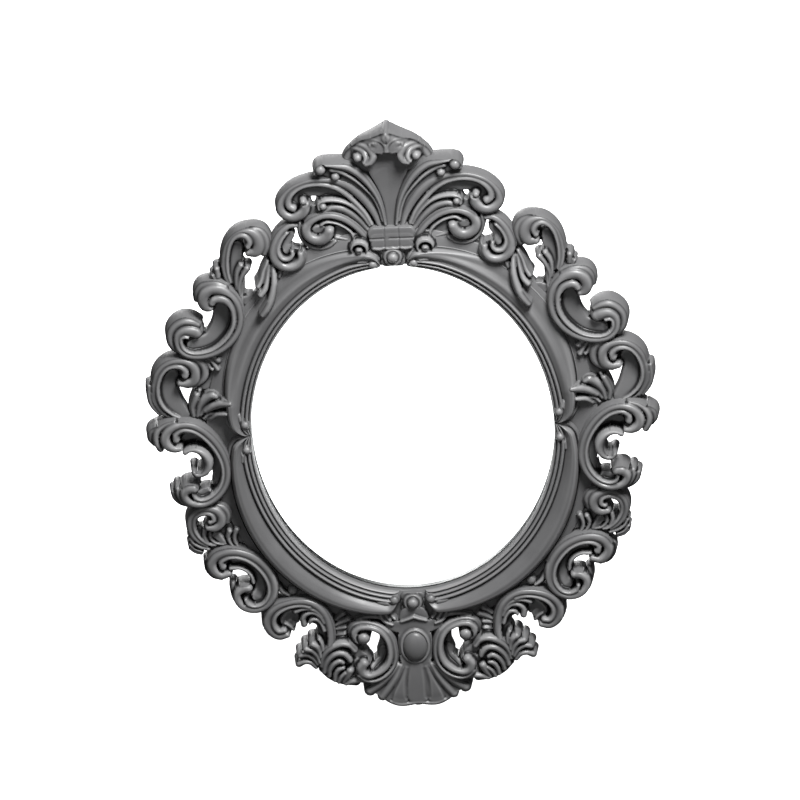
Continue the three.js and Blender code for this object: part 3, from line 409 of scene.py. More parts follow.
def stroke_field(x, z, path):
    """How deep each point lies inside a stroke, which is the half width less the distance to its route, and
    the half width and height of the stroke there, from the segment that holds the point deepest."""
    start, end = path[:-1], path[1:]
    run_x, run_z, run_w, run_h = (end - start).T
    from_x = x[:, None] - start[:, 0]
    from_z = z[:, None] - start[:, 1]
    share = np.clip((from_x * run_x + from_z * run_z) / (run_x ** 2 + run_z ** 2), 0, 1)
    half_width = start[:, 2] + share * run_w
    inside = half_width - np.hypot(from_x - share * run_x, from_z - share * run_z)
    rows = np.arange(len(x))
    best = inside.argmax(axis=1)
    height = start[best, 3] + share[rows, best] * run_h[best]
    return inside[rows, best], half_width[rows, best], height


def roundness(share):
    """The fall of a quarter circle: 0 on the axis and 1 at the edge."""
    return 1 - np.sqrt(np.clip(1 - share ** 2, 0, 1))


def roll_drop(share, width):
    """A roll: nearly half round, with a steeper edge than a leaf."""
    return 0.9 * width * roundness(share)


def bead_drop(share, width):
    """A bead: a half round cord."""
    return 0.95 * width * roundness(share)


def leaf_drop(share, width):
    """A leaf lobe: a softly crowned ridge with rounded shoulders."""
    return 0.5 * width * share ** 2 + 0.45 * width * roundness(share)


def plate_drop(share, width):
    """A flat with an eased edge."""
    return 0.5 * share ** 8 + 0 * width


DROPS = {"roll": roll_drop, "bead": bead_drop, "ball": bead_drop, "leaf": leaf_drop, "plate": plate_drop}
MOATS = {"bead": 1.3, "ball": 1.5}
MOAT_DEPTH = 0.2
MOAT_SLOPE = 1.6


def carve(strokes, x, z):
    """The depth inside the outline and the carved height at each point. Strokes are laid in order, each one
    keeping the higher surface; a bead or ball first cuts a narrow groove round itself, and a groove's height
    is how deep it goes into what lies under it."""
    inside = np.full(x.shape, -REACH)
    height = np.zeros(x.shape)
    for kind, points in strokes:
        path = through(points)
        reach = path[:, 2].max() + REACH
        near = ((x > path[:, 0].min() - reach) & (x < path[:, 0].max() + reach)
                & (z > path[:, 1].min() - reach) & (z < path[:, 1].max() + reach))
        if not near.any():
            continue
        depth, half_width, top = stroke_field(x[near], z[near], path)
        share = np.clip(1 - depth / half_width, 0, 1)
        held = height[near]
        if kind == "groove":
            height[near] = np.where((depth > 0) & (held > 0), held - top * (1 - share ** 2), held)
            continue
        surface = top - DROPS[kind](share, half_width)
        if kind in MOATS:
            moat = MOATS[kind]
            floor = top - DROPS[kind](1, half_width) - MOAT_DEPTH + MOAT_SLOPE * np.abs(depth)
            held = np.where(np.abs(depth) < moat, np.minimum(held, np.maximum(floor, 1)), held)
        height[near] = np.where(depth > -EDGE, np.maximum(held, surface), held)
        inside[near] = np.maximum(inside[near], depth)
    return inside, height


def blurred(values, weights, times):
    """A blur that counts only the weighted cells: each pass takes a quarter from each side on an axis."""
    total = values * weights
    weight = weights.astype(float)
    for _ in range(times):
        for axis in (0, 1):
            total = 0.5 * total + 0.25 * (np.roll(total, 1, axis) + np.roll(total, -1, axis))
            weight = 0.5 * weight + 0.25 * (np.roll(weight, 1, axis) + np.roll(weight, -1, axis))
    return np.where(weight > 1e-6, total / np.maximum(weight, 1e-6), values)


def in_ring(x, z):
    """Where a point stands over the carcass."""
    return (x / (RING_HALF_WIDTH + FIT_GAP)) ** 2 + (z / (RING_HALF_HEIGHT + FIT_GAP)) ** 2 < 1


SLIT_REACH = 5
SLIT_FLOOR = 9
SLIT_LIP = 1.5
BACK_STEP = 0.18
BACK_LEVELS = 7
shell_count = itertools.count()


def grown(mask, reach):
    """A mask widened by a disc: it is moved to each cell of the disc, and the moved copies are joined."""
    rows, columns = mask.shape
    padded = np.pad(mask, reach)
    wide = np.zeros(mask.shape, bool)
    steps = range(2 * reach + 1)
    for row, column in itertools.product(steps, steps):
        if (row - reach) ** 2 + (column - reach) ** 2 <= reach * reach + 1:
            wide |= padded[row:row + rows, column:column + columns]
    return wide


def outline_sides(faces, count):
    """The sides that only one quad has, which make the outline: a side is a pair of point numbers, and sides
    with the same two numbers are counted together."""
    sides = np.concatenate([faces[:, [0, 1]], faces[:, [1, 2]], faces[:, [2, 3]], faces[:, [3, 0]]])
    key = np.sort(sides, axis=1) @ [count, 1]
    _, first, times = np.unique(key, return_index=True, return_counts=True)
    return sides[first[times == 1]]


def relief_shell(strokes, softness=2, back=None):
    """A carved piece as points, triangles and a relief value at each point. The front is a height over a grid
    of X and Z; grid points beside the outline are moved onto it, so the wall is smooth. The wall falls with
    a little draft to the back plane, or to the carcass where the piece lies over it. The back planes are
    stepped by a fraction of a millimetre from one shell to the next, so that pieces that overlap don't share
    one. A slit that closes when the outline is widened and narrowed again gets a deep floor, as a carver
    leaves it. The relief value is the blurred height less the height: above 0 in hollows, below on crests."""
    every = np.concatenate([through(points) for _, points in strokes])
    low = every[:, :2].min(axis=0) - every[:, 2].max() - SHELL_MARGIN
    high = every[:, :2].max(axis=0) + every[:, 2].max() + SHELL_MARGIN
    x, z = np.meshgrid(np.arange(low[0], high[0], CELL), np.arange(low[1], high[1], CELL), indexing="ij")
    inside, height = (field.reshape(x.shape) for field in carve(strokes, x.ravel(), z.ravel()))
    slit = ~grown(~grown(height > 0, SLIT_REACH), SLIT_REACH) & (height <= 0)
    floor = np.where(in_ring(x, z), RING_DEPTH + SLIT_LIP, SLIT_FLOOR)
    height = np.where(slit, floor, height)
    inside = np.where(slit, CELL, inside)
    solid = height > 0
    height = blurred(height, solid, softness)
    hollow = blurred(height, solid, HOLLOW_BLUR) - height
    # Cells whose middle lies inside the outline are kept, and each grid point they use gets a number.
    centre = (inside[:-1, :-1] + inside[1:, :-1] + inside[:-1, 1:] + inside[1:, 1:]) / 4
    kept = centre > 0
    used = np.zeros(x.shape, bool)
    touching = np.zeros(x.shape, int)
    for shift_x, shift_z in ((0, 0), (1, 0), (0, 1), (1, 1)):
        part = (slice(shift_x, x.shape[0] - 1 + shift_x), slice(shift_z, x.shape[1] - 1 + shift_z))
        used[part] |= kept
        touching[part] += kept
    edge = used & (touching < 4)
    slope_x, slope_z = np.gradient(inside, CELL)
    steep = np.maximum(slope_x ** 2 + slope_z ** 2, 0.25)
    move = np.clip(inside, -CELL, CELL) / steep
    x = np.where(edge, x - move * slope_x, x)
    z = np.where(edge, z - move * slope_z, z)
    _, edge_height = carve(strokes, x[edge], z[edge])
    height[edge] = np.where(edge_height > 0, edge_height, height[edge])
    hollow[edge] = 0
    number = np.cumsum(used.ravel()).reshape(x.shape) - 1
    corners = [number[:-1, :-1], number[1:, :-1], number[1:, 1:], number[:-1, 1:]]
    faces = np.stack([corner[kept] for corner in corners], axis=-1)
    count = int(used.sum())
    rim = outline_sides(faces, count)
    length = np.sqrt(slope_x ** 2 + slope_z ** 2) + 1e-9
    out_x = np.where(edge, -slope_x / length, 0)[used]
    out_z = np.where(edge, -slope_z / length, 0)[used]
    top_x, top_z, top_y = x[used], z[used], height[used]
    if back is None:
        step = BACK_STEP * (next(shell_count) % BACK_LEVELS)
        base = np.where(in_ring(top_x, top_z), RING_DEPTH - SHELL_SINK - step, step)
    else:
        base = np.full(count, float(back))
    # The wall has three levels: the front, the foot of its rounded arris and the back.
    draft = WALL_DRAFT * (top_y - base) / DRAFT_HEIGHT
    rounded = np.minimum(WALL_ROUND, ROUND_LIMIT * (top_y - base))
    levels = [
        (top_x, top_z, top_y),
        (top_x + ROUND_SHARE * rounded * out_x, top_z + ROUND_SHARE * rounded * out_z, top_y - rounded),
        (top_x + (rounded + draft) * out_x, top_z + (rounded + draft) * out_z, base),
    ]
    points = np.concatenate([np.stack([px, -ph, pz], axis=-1) for px, pz, ph in levels])
    walls = [np.stack([rim[:, 1], rim[:, 0], rim[:, 0] + count, rim[:, 1] + count], axis=-1) + level * count
             for level in (0, 1)]
    front = np.concatenate([faces, *walls, faces[:, ::-1] + 2 * count])
    triangles = np.concatenate([front[:, [0, 1, 2]], front[:, [0, 2, 3]]])
    # This relief value paints shade into the hollows and a lighter grey, partly wear and partly painted
    # highlight, onto the crests.
    tone = np.concatenate([np.clip(hollow[used] / HOLLOW_DEPTH, -1, 1), np.zeros(2 * count)])
    # The middle level is used by the wall alone, so its other points are dropped.
    alive = np.unique(triangles)
    renumber = np.zeros(len(points), int)
    renumber[alive] = np.arange(len(alive))
    return points[alive], renumber[triangles], tone[alive]


def joined(*shells):
    """Several shells as one set of points, triangles and relief values."""
    starts = np.cumsum([0] + [len(points) for points, _, _ in shells[:-1]])
    return (np.concatenate([points for points, _, _ in shells]),
            np.concatenate([faces + start for (_, faces, _), start in zip(shells, starts)]),
            np.concatenate([tone for _, _, tone in shells]))


def mirrored(shell):
    """The mirror image of a shell in X, with its triangles turned back to face outwards."""
    points, faces, tone = shell
    return points * [-1, 1, 1], faces[:, ::-1], tone


def add_carving(name, shell, node, sharp=60):
    """One carved piece in satin grey, which takes the place of a node."""
    points, faces, tone = shell
    make_piece(name, points, faces, satin_grey, BODY, [node], relief=tone, sharp=sharp)


def add_carved_pair(name, shell, node, sharp=60):
    """A carved piece drawn on the left, and its mirror image on the right."""
    add_carving(f"{name}_left", shell, f"{node}_left", sharp)
    add_carving(f"{name}_right", mirrored(shell), f"{node}_right", sharp)


BLOCK_SHARES = [0, 0.05, 0.16, 0.23, 0.32, 0.43, 0.54, 0.6, 0.69, 0.81, 0.93, 1]
BLOCK_HEIGHTS = [21.6, 22.6, 23.1, 22, 24, 25.2, 24.2, 22.6, 25.2, 26.6, 25.6, 23.4]
WAVE_SHARES = [0, 0.08, 0.3, 0.58, 0.78, 0.88, 0.925, 0.955, 0.975, 1]
WAVE_HEIGHTS = [23.4, 24.6, 28, 30, 27.8, 22.5, 18.6, 16, 17.8, 17]
SHOULDER_HEIGHTS = [22.6, 22.4, 22.8, 17.8, 16.8, 16.4, 16.2, 16, 16.4, 16]
BLOCK_STEPS = 40
WAVE_STEPS = 43
BOSS_HALF_CHORD = 13.2
JOINT_ANGLE = 0.001
SHOULDER_START = 0.12
SHOULDER_SPAN = 0.78
TONE_REACH = 4
TONE_DEPTH = 1.2


def moulding_shell(vertical, skew, fullness, side_round, boss_round, flatness):
    """A quarter of the moulding: its section is carried along the sight oval, from the side joint to the
    boss. The width swells and shrinks with the angle, and draws in like a circle at both ends. Between the
    joint and the boss the wave sinks towards a flatter section, by a share that follows a sine bell."""
    boss_angle = np.arccos(BOSS_HALF_CHORD / SIGHT_HALF_WIDTH)
    share = (1 - np.cos(np.linspace(0, np.pi, MOULDING_ROWS))) / 2
    angle = JOINT_ANGLE + (boss_angle - JOINT_ANGLE) * share
    quarter = angle / (np.pi / 2)
    swell = np.sin(np.pi * quarter ** skew) ** fullness
    width = MOULDING_END_WIDTH + (MOULDING_MID_WIDTH - MOULDING_END_WIDTH) * swell
    x, z = oval(SIGHT_HALF_WIDTH, SIGHT_HALF_HEIGHT, angle)
    run = np.concatenate([[0], np.cumsum(np.hypot(np.diff(x), np.diff(z)))])
    ends = np.ones(MOULDING_ROWS)
    for distance, reach in ((run, side_round), (run[-1] - run, boss_round)):
        ends *= np.sqrt(1 - np.clip(1 - distance / reach, 0, 0.999) ** 2)
    width = (width * ends)[:, None]
    block = np.minimum(BEAD_BLOCK, BLOCK_SHARE * width)
    inner = np.linspace(0, 1, BLOCK_STEPS)
    outer = np.linspace(0, 1, WAVE_STEPS + 1)[1:]
    inner_height = smooth_line(BLOCK_SHARES, BLOCK_HEIGHTS, inner)
    shoulder = np.clip((quarter - SHOULDER_START) / SHOULDER_SPAN, 0, 1)
    bell = np.sin(np.pi * shoulder)[:, None] ** 0.7 * flatness
    outer_height = ((1 - bell) * smooth_line(WAVE_SHARES, WAVE_HEIGHTS, outer)
                    + bell * smooth_line(WAVE_SHARES, SHOULDER_HEIGHTS, outer))
    offset = np.concatenate([0 * width, block * inner, block + (width - block) * outer, width], axis=1)
    foot = np.full((MOULDING_ROWS, 1), MOULDING_SEAT - SHELL_SINK)
    height = np.concatenate([foot, inner_height + 0 * foot, outer_height, foot], axis=1)
    flow = (ends ** 0.5)[:, None]
    heights = MOULDING_SEAT - SHELL_SINK + (height - MOULDING_SEAT + SHELL_SINK) * flow
    points = oval_band(angle, (offset, heights)) * [1, 1, vertical]
    points, faces = capped(points, flip=vertical < 0)
    # The moulding's relief value, the mean height across less the height, paints shade into its hollows and a
    # lighter grey, partly wear and partly painted highlight, onto its crests.
    padded = np.pad(height, ((0, 0), (TONE_REACH, TONE_REACH)), mode="edge")
    window = 2 * TONE_REACH + 1
    mean = sum(padded[:, shift:shift + height.shape[1]] for shift in range(window)) / window
    tone = np.clip((mean - height) / TONE_DEPTH, -1, 1)
    tone[:, [0, -1]] = 0
    return points, faces, np.concatenate([tone.ravel(), [0, 0]])


BULB_BACK = 16
upper_ends = relief_shell([
    ("bead", [(-177.5, 24, 1.1, 18.5), (-173, 11, 1.4, 19.5), (-166, 4, 1.8, 21), (-158.5, 3.2, 2, 23)]),
    ("leaf", [(-163, 24, 3, 26), (-160, 16, 4, 27), (-157, 10, 4, 27)]),
    ("ball", [(-157, 13.2, 4.6, 28.5)]),
    ("bead", [(-40, 192.5, 1.1, 18), (-28, 193, 1.4, 19.5), (-18.5, 190, 1.7, 21),
              (-15.5, 183.5, 1.9, 22.5)]),
    ("leaf", [(-34, 184, 3, 26), (-26, 183.5, 4.4, 27), (-20, 181, 4.6, 27)]),
    ("ball", [(-20.6, 180.6, 4.6, 28.5)]),
], back=BULB_BACK)
lower_ends = relief_shell([
    ("bead", [(-175.5, -24, 1.2, 18.5), (-173, -11, 1.5, 20), (-166, -2.6, 1.8, 21.5),
              (-158.5, -2.4, 2, 23)]),
    ("leaf", [(-162, -26, 3, 26), (-160, -16, 4, 27), (-157, -12, 4, 27)]),
    ("ball", [(-156.8, -14, 4.5, 28.5)]),
    ("leaf", [(-34, -184, 3, 26), (-26, -185, 4.4, 27), (-19, -183, 4.6, 27)]),
    ("ball", [(-18.2, -182.4, 5, 28.5)]),
], back=BULB_BACK)
upper_quarter = moulding_shell(1, skew=0.75, fullness=0.85, side_round=12, boss_round=9, flatness=1)
lower_quarter = moulding_shell(-1, skew=1, fullness=0.6, side_round=11, boss_round=9, flatness=0)
upper_crescent = joined(mirrored(upper_quarter), upper_ends)
lower_crescent = joined(mirrored(lower_quarter), lower_ends)
add_carved_pair("sight_moulding_upper", upper_crescent, "moulding_upper", sharp=75)
add_carved_pair("sight_moulding_lower", lower_crescent, "moulding_lower", sharp=75)

# Bosses
# A round button in a turned ring covers the joint of the mouldings at the top and the bottom of the opening.
# Each one is carved with its plinth from one block of wood.

BOSS_CENTRE = 186.6
PLINTH_HALF_WIDTH = 7.5
FULL_TURN = np.linspace(0, 2 * np.pi, 17)


def oval_route(centre_z, half_x, half_z, half_width, height, angles=FULL_TURN):
    """A route round an oval on the middle line, as stroke points."""
    return [(half_x * np.cos(a), centre_z + half_z * np.sin(a), half_width, height) for a in angles]


for boss_name, boss_side in (("top", 1), ("bottom", -1)):
    boss_z = boss_side * BOSS_CENTRE
    plinth = [("plate", [(side * PLINTH_HALF_WIDTH, boss_z + level, 4, 20.5) for side in (-1, 1)])
              for level in (-6.4, 0, 5.6)]
    button = [("bead", oval_route(boss_z, 7.7, 7.7, 1.5, 24)), ("ball", [(0, boss_z, 5.6, 29)])]
    add_carving(f"boss_{boss_name}", relief_shell(plinth + button), f"bead_{boss_name}")

# Crest
# The crown is built up from carved wood: a plume, two scrolls and a lower frond on each side of a smooth fan,
# with a pointed hood over it and a ribbed collar at its foot. All the pieces are glued to the carcass.

LEAN_ACROSS = 0.0055
LEAN_UP = 0.0102
DRAWING_OFFSET = 0.1


def squared(strokes):
    """Strokes drawn on the left half, turned true: the drawing leans, so X grows with Z and Z with X."""
    return [(kind, [(x + LEAN_ACROSS * z + DRAWING_OFFSET, z + LEAN_UP * x, half_width, height)
                    for x, z, half_width, height in points]) for kind, points in strokes]


def both_sides(strokes):
    """Strokes drawn on the left half, with their mirror images on the right."""
    left = squared(strokes)
    return left + [(kind, [(-x, z, half_width, height) for x, z, half_width, height in points])
                   for kind, points in left]


CREST_PLUME = [
    ("plate", [(-9, 217, 3, 15), (-14, 236, 3.6, 15), (-24, 254, 5.5, 16), (-38, 268, 6.5, 17),
               (-52, 277.5, 7, 17.5), (-62, 281.5, 6, 17.5)]),
    ("leaf", [(-6.8, 220, 1.3, 19.5), (-9.3, 236.5, 1.7, 20.5), (-13.2, 249.8, 2.3, 21.5),
              (-18.8, 261, 3, 22.5), (-25.8, 271.3, 3.8, 23.5), (-34, 279.8, 4.2, 24.5),
              (-43, 285.5, 4.1, 25), (-53, 287.9, 2.9, 25.5), (-62, 289.2, 1.6, 25.5),
              (-68.5, 288.8, 1.6, 25.5), (-73.6, 285, 1.6, 25), (-74.6, 280.5, 1.3, 24)]),
    ("leaf", [(-9.8, 223.8, 0.9, 18.5), (-13, 238, 1.1, 19), (-18, 250.2, 1.3, 19.5), (-26, 261.1, 1.6, 20.5),
              (-35, 270.5, 2, 21.5), (-44, 277.6, 2.5, 22.5), (-52, 281.9, 2.9, 23), (-58, 283.4, 2.6, 23)]),
    ("ball", [(-69.3, 284.6, 5.4, 27)]),
    ("ball", [(-54.5, 275.7, 4.2, 24.5)]),
]
CREST_SCROLL = [
    ("plate", [(-97, 247, 6, 11), (-92, 254, 5.5, 11), (-86, 257.5, 3, 11)]),
    ("plate", [(-95, 256, 6, 11), (-87, 258.6, 6.4, 11), (-77, 258.8, 6.4, 11), (-67, 257, 6, 11)]),
    ("plate", [(-84, 237, 4.6, 12), (-74, 238, 4.4, 12)]),
    ("plate", [(-66, 256, 6, 10.5), (-58, 252.5, 7, 11), (-47, 245.5, 6, 11.5), (-36, 235.5, 5, 12.5),
               (-27, 225, 3.5, 13.5)]),
    ("leaf", [(-25, 215.2, 3, 16.5), (-32, 224.8, 4.2, 17), (-41, 233.3, 4.6, 17.5), (-50, 238.9, 4.6, 18),
              (-60, 240.5, 4, 18), (-67, 237, 3.5, 18)]),
    ("roll", [(-12.5, 218.2, 2.6, 17), (-16.5, 230, 3.6, 17.5), (-23.5, 242.8, 4.6, 18),
              (-33, 255, 5.1, 18.5), (-43, 263.6, 5.2, 18.5), (-52, 268, 4.4, 18.5),
              (-60.5, 270.2, 3.2, 18.5), (-70, 271, 2.6, 18.5), (-80, 270.9, 2.4, 18.5),
              (-90, 268.4, 2.4, 18.5), (-98.5, 264.4, 2.6, 18.5), (-105.8, 257.8, 3, 18.5),
              (-110.6, 249.5, 3.8, 19), (-111, 241.5, 4.6, 19.5), (-106.8, 235.5, 4.8, 20),
              (-99.5, 232.8, 5, 20.5), (-92, 234.8, 5.2, 21), (-87, 240.2, 5, 21.5), (-85.8, 246.6, 4, 22)]),
    ("roll", [(-20.5, 220.4, 1.8, 17.5), (-27, 233, 2.4, 18), (-36, 245, 2.7, 18.5), (-45, 254.8, 2.8, 18.5),
              (-55, 262, 2.6, 19), (-65, 265.7, 2.3, 19), (-75, 266.8, 2.2, 19), (-85, 265.8, 2.2, 19),
              (-93, 262.7, 2.4, 19), (-99.3, 257.5, 2.8, 19.5), (-103, 251, 3.2, 19.5),
              (-102.5, 245.2, 3.6, 20), (-98.5, 242.4, 3.6, 20.5)]),
    ("ball", [(-88, 250.2, 3.4, 23)]),
    ("leaf", [(-23, 219.4, 1.2, 17.5), (-28.5, 229.3, 1.7, 18.5), (-35.5, 238, 2, 19),
              (-43, 244.1, 2.1, 19.5), (-51, 247.8, 2.2, 20), (-60, 249.5, 2.4, 20.5), (-67, 249.2, 2.4, 21),
              (-72.2, 245.4, 2, 21), (-72, 240.6, 1.8, 20.5)]),
    ("ball", [(-68.5, 243.4, 3.6, 22.5)]),
]
CREST_VOLUTE = [
    ("plate", [(-34.4, 199.2, 8.6, 28.4), (-33.6, 199.2, 8.6, 28.4)]),
    ("leaf", [(-34.5, 199.2, 5.4, 30.6), (-33.5, 199.2, 5.4, 30.6)]),
    ("plate", [(-50, 212.6, 7, 13), (-60, 214.6, 6, 13)]),
    ("plate", [(-44, 206.6, 5, 13), (-43.8, 206, 5, 13)]),
    ("plate", [(-76, 218.5, 4.5, 17), (-70, 218.5, 4, 17.5)]),
    ("leaf", [(-57, 207.8, 2.4, 16), (-46, 205, 2.4, 15.5)]),
    ("leaf", [(-92.5, 226, 1.8, 16.5), (-93, 216, 2, 17), (-89.5, 206.5, 2, 17), (-82, 199.5, 2, 17),
              (-73, 197.3, 2, 17), (-64, 199.5, 2.2, 17), (-58, 204, 2.2, 17)]),
    ("roll", [(-24.5, 200.6, 2.6, 18), (-28, 207.5, 3, 19), (-33.5, 215.7, 3.2, 19.5),
              (-41.5, 223.6, 3.3, 20), (-50.5, 229.6, 3.4, 20.5), (-60, 232.8, 3.2, 21), (-69, 233, 3.2, 21),
              (-77.5, 230.4, 3.6, 21.5), (-83.8, 225.5, 4.2, 21.5), (-86.6, 218.7, 4.7, 22),
              (-84, 212, 5, 22.5), (-78, 208.2, 5.4, 23), (-71, 208.1, 5.6, 23.5), (-65.5, 212, 5.4, 24),
              (-63, 217.6, 4.4, 24.5)]),
    ("leaf", [(-39.5, 207, 1.2, 18.5), (-41, 212.5, 1.5, 18.5), (-46, 217.8, 1.6, 18.5),
              (-52.5, 222.3, 1.7, 19), (-60, 225.2, 1.8, 19), (-66.5, 225.8, 1.9, 19.5),
              (-71, 223.2, 1.6, 19.5)]),
    ("roll", [(-43.5, 200.5, 2, 17.5), (-43.8, 193.8, 2.4, 18.5), (-40, 188.5, 2.6, 19),
              (-34, 186.8, 2.8, 20), (-28, 189.5, 2.8, 20), (-25, 195.5, 2.8, 19.5)]),
    ("plate", [(-34, 203, 6, 16), (-35, 196, 8, 16)]),
    ("ball", [(-34.5, 196.5, 5.2, 23)]),
]
CREST_SIDE_SCROLL = [
    ("plate", [(-104, 212, 5, 13), (-108, 204, 4.5, 14), (-107, 197, 4, 16)]),
    ("plate", [(-102, 196, 3, 14), (-91, 193, 3.4, 14)]),
    ("roll", [(-96, 223, 2.2, 17), (-103, 223.5, 3, 18), (-109.5, 219.5, 3.6, 19), (-115, 212.5, 4.2, 20),
              (-119, 204, 4.4, 21), (-120.5, 195.5, 4.8, 22), (-118, 187.5, 4.8, 23),
              (-112, 181.8, 4.6, 23.5), (-104.5, 180, 4.4, 24), (-97.5, 182.3, 4, 24),
              (-93.4, 188, 3.4, 23.5), (-93.3, 194, 2.8, 23)]),
    ("leaf", [(-104, 176.3, 1.5, 20), (-96, 178.3, 1.6, 21), (-90.8, 184, 1.8, 21), (-89.2, 191, 1.8, 21),
              (-90.5, 197, 1.5, 20)]),
    ("roll", [(-106, 216, 1.6, 19), (-111.5, 210, 2, 20), (-115, 202.5, 2.2, 21), (-115, 195.5, 2.4, 22),
              (-111, 190, 2.4, 23), (-105.5, 189.5, 2.4, 23), (-101.5, 193, 2, 23),
              (-101.5, 197.5, 1.6, 22)]),
    ("leaf", [(-126.5, 187, 2, 18), (-131, 177.5, 2.4, 21), (-133.6, 169, 2.8, 24.5),
              (-137, 163.4, 2.8, 27)]),
    ("leaf", [(-125.5, 182, 1.8, 18), (-127.8, 169, 2.6, 24), (-130.6, 159.6, 3, 27.6),
              (-134.8, 154.4, 3, 29)]),
    ("leaf", [(-121.5, 182, 2.4, 19), (-121, 171, 3, 24), (-121.4, 161, 3.6, 27.6), (-125, 147.6, 4, 30.4),
              (-129.6, 139.4, 4, 31.4), (-133.8, 134, 3.6, 31)]),
    ("leaf", [(-113.5, 175, 2, 18), (-116, 169.5, 2.4, 18.5)]),
]
CREST_HOOD = [
    ("leaf", [(-1.9, 317.2, 6.4, 32.5), (-10, 313.6, 5.8, 29), (-20, 308.2, 6, 24), (-30, 302.4, 6, 18),
              (-38.5, 295.4, 5.6, 15), (-41.3, 292, 5, 14)]),
    ("plate", [(-1.9, 309, 8, 25), (-12, 307, 7, 25), (-22, 301, 7.5, 22), (-30, 297, 7, 18)]),
    ("leaf", [(-2.2, 322.6, 1.6, 33), (-3.4, 318, 3.4, 32.6), (-3.2, 314.6, 2.2, 32)]),
    ("leaf", [(-33, 306.2, 1.6, 13), (-28, 309.2, 2, 16.5), (-22, 311.8, 2.3, 21), (-12, 315, 2.3, 28.5),
              (-6, 313.8, 2.2, 31), (-2.7, 309, 2, 31.5), (-2.7, 303.4, 1.6, 31.5)]),
    ("plate", [(-36, 287, 5, 14), (-21, 282, 5, 15)]),
    ("plate", [(-16, 309, 3.4, 27), (-11.4, 307.6, 6, 29.5), (-7, 305.4, 4.4, 30)]),
    ("roll", [(-34, 304.2, 2.6, 15.5), (-26, 307, 3.4, 23), (-19, 304.6, 3.8, 28), (-15.4, 298.9, 3.8, 30.6),
              (-17.4, 293.1, 3.4, 31.5), (-22.6, 290.6, 2.8, 31)]),
    ("roll", [(-38, 300.2, 2.4, 14), (-31.4, 303, 3, 21.5), (-25.4, 301.6, 3.2, 27),
              (-22.8, 296.6, 3.2, 30.4), (-24.6, 292.6, 2.6, 31.2)]),
    ("ball", [(-31, 296.5, 4.4, 29.5)]),
]
CREST_PANEL = [
    ("plate", [(0, 218, 3.4, 15), (0, 243, 6, 15.5), (0, 258, 10, 16), (0, 273, 15.5, 17), (0, 283, 20, 18)]),
]
CREST_COLLAR = [
    ("plate", [(0, 201, 6, 22.4), (-16, 201, 6, 22.4)]),
    ("plate", [(0, 212, 6, 21.9), (-18.6, 212, 6, 21.9)]),
    ("plate", [(0, 206.6, 6, 22.2), (-17.4, 206.6, 6, 22.2)]),
    ("leaf", [(-1, 196.4, 1.8, 24), (-5, 195.8, 1.6, 24), (-8, 196.6, 1.4, 23.6)]),
    ("leaf", [(-9.4, 196.6, 1.4, 23.6), (-14, 195.8, 1.8, 24), (-20, 196.6, 1.6, 23.6)]),
    ("groove", [(1, 206.9, 0.9, 1), (-24, 206.9, 0.9, 1)]),
    ("groove", [(-8.4, 196, 0.8, 0.7), (-8.4, 218, 0.8, 0.7)]),
]



def add_ornaments(drawings):
    """Carved pairs from drawings of the left one, each under the name of the nodes that it replaces."""
    for name, strokes in drawings.items():
        add_carved_pair(name, relief_shell(squared(strokes)), name)


add_ornaments({"crest_plume": CREST_PLUME, "crest_scroll": CREST_SCROLL, "crest_volute": CREST_VOLUTE,
               "crest_side_scroll": CREST_SIDE_SCROLL})
add_carving("crest_hood", relief_shell(both_sides(CREST_HOOD)), "crest_hood")
add_carving("crest_panel", relief_shell(CREST_PANEL), "crest_panel")
add_carving("crest_collar", relief_shell(both_sides(CREST_COLLAR)), "crest_collar")

# Shoulders, flanks and hips
# Seven wooden ornaments are glued to each side of the ring. Most are C scrolls: a roll that curls in at both
# ends, with a fine bead along the hollow inside it and small leaves where it springs from its neighbour.

SHOULDER_SCROLL = [
    ("plate", [(-157, 203, 6, 13), (-159.5, 192, 7.5, 13), (-160.5, 180, 7, 13.5), (-162, 168, 4.5, 14.5)]),
    ("plate", [(-149, 145, 5.6, 15), (-143, 148, 3, 15)]),
    ("leaf", [(-130, 196, 4, 19), (-127.5, 203, 4.4, 19.5), (-127.6, 211, 4.6, 19.5),
              (-131.5, 218.4, 4.4, 19), (-138, 222, 3.6, 19), (-146, 222.6, 2.8, 19)]),
    ("roll", [(-144.5, 198, 4.2, 22), (-137.5, 198.8, 5.8, 23), (-134.5, 206, 6.6, 23),
              (-136.5, 214, 6.4, 22.5), (-143, 220, 4.8, 22), (-151, 220.6, 3.6, 21.5),
              (-158.5, 216.5, 3.4, 21), (-165, 208.5, 3.4, 20), (-169, 198, 3.4, 19), (-170.8, 186, 3, 18),
              (-169.5, 174, 2.6, 17), (-166.5, 164, 2, 16.5)]),
    ("bead", [(-145.5, 205.5, 3, 24), (-143.8, 210.5, 3.2, 24), (-146.5, 215.6, 3.2, 23.5),
              (-152, 217.6, 2.8, 23), (-158.5, 214.6, 2.4, 22), (-163.3, 207.5, 2.2, 21), (-166, 198, 2, 20),
              (-167.3, 187, 1.8, 19), (-167, 176, 1.6, 18), (-164.8, 166, 1.2, 17)]),
    ("leaf", [(-158.5, 158, 1.6, 17), (-159, 168, 2, 18), (-157.5, 177, 2.4, 19.5),
              (-153.5, 184.5, 2.6, 21)]),
    ("leaf", [(-155.5, 150, 1.6, 17), (-156.5, 161, 2, 18), (-153, 172, 2.4, 19.5), (-147.5, 181, 3.4, 21)]),
    ("leaf", [(-153.5, 165, 1.5, 17), (-154, 152, 1.5, 17), (-155, 140, 1.2, 17)]),
    ("leaf", [(-178, 181.5, 3, 20), (-177.5, 173, 3, 18)]),
    ("leaf", [(-182.3, 175, 1.8, 19), (-180.5, 170, 1.6, 18)]),
]
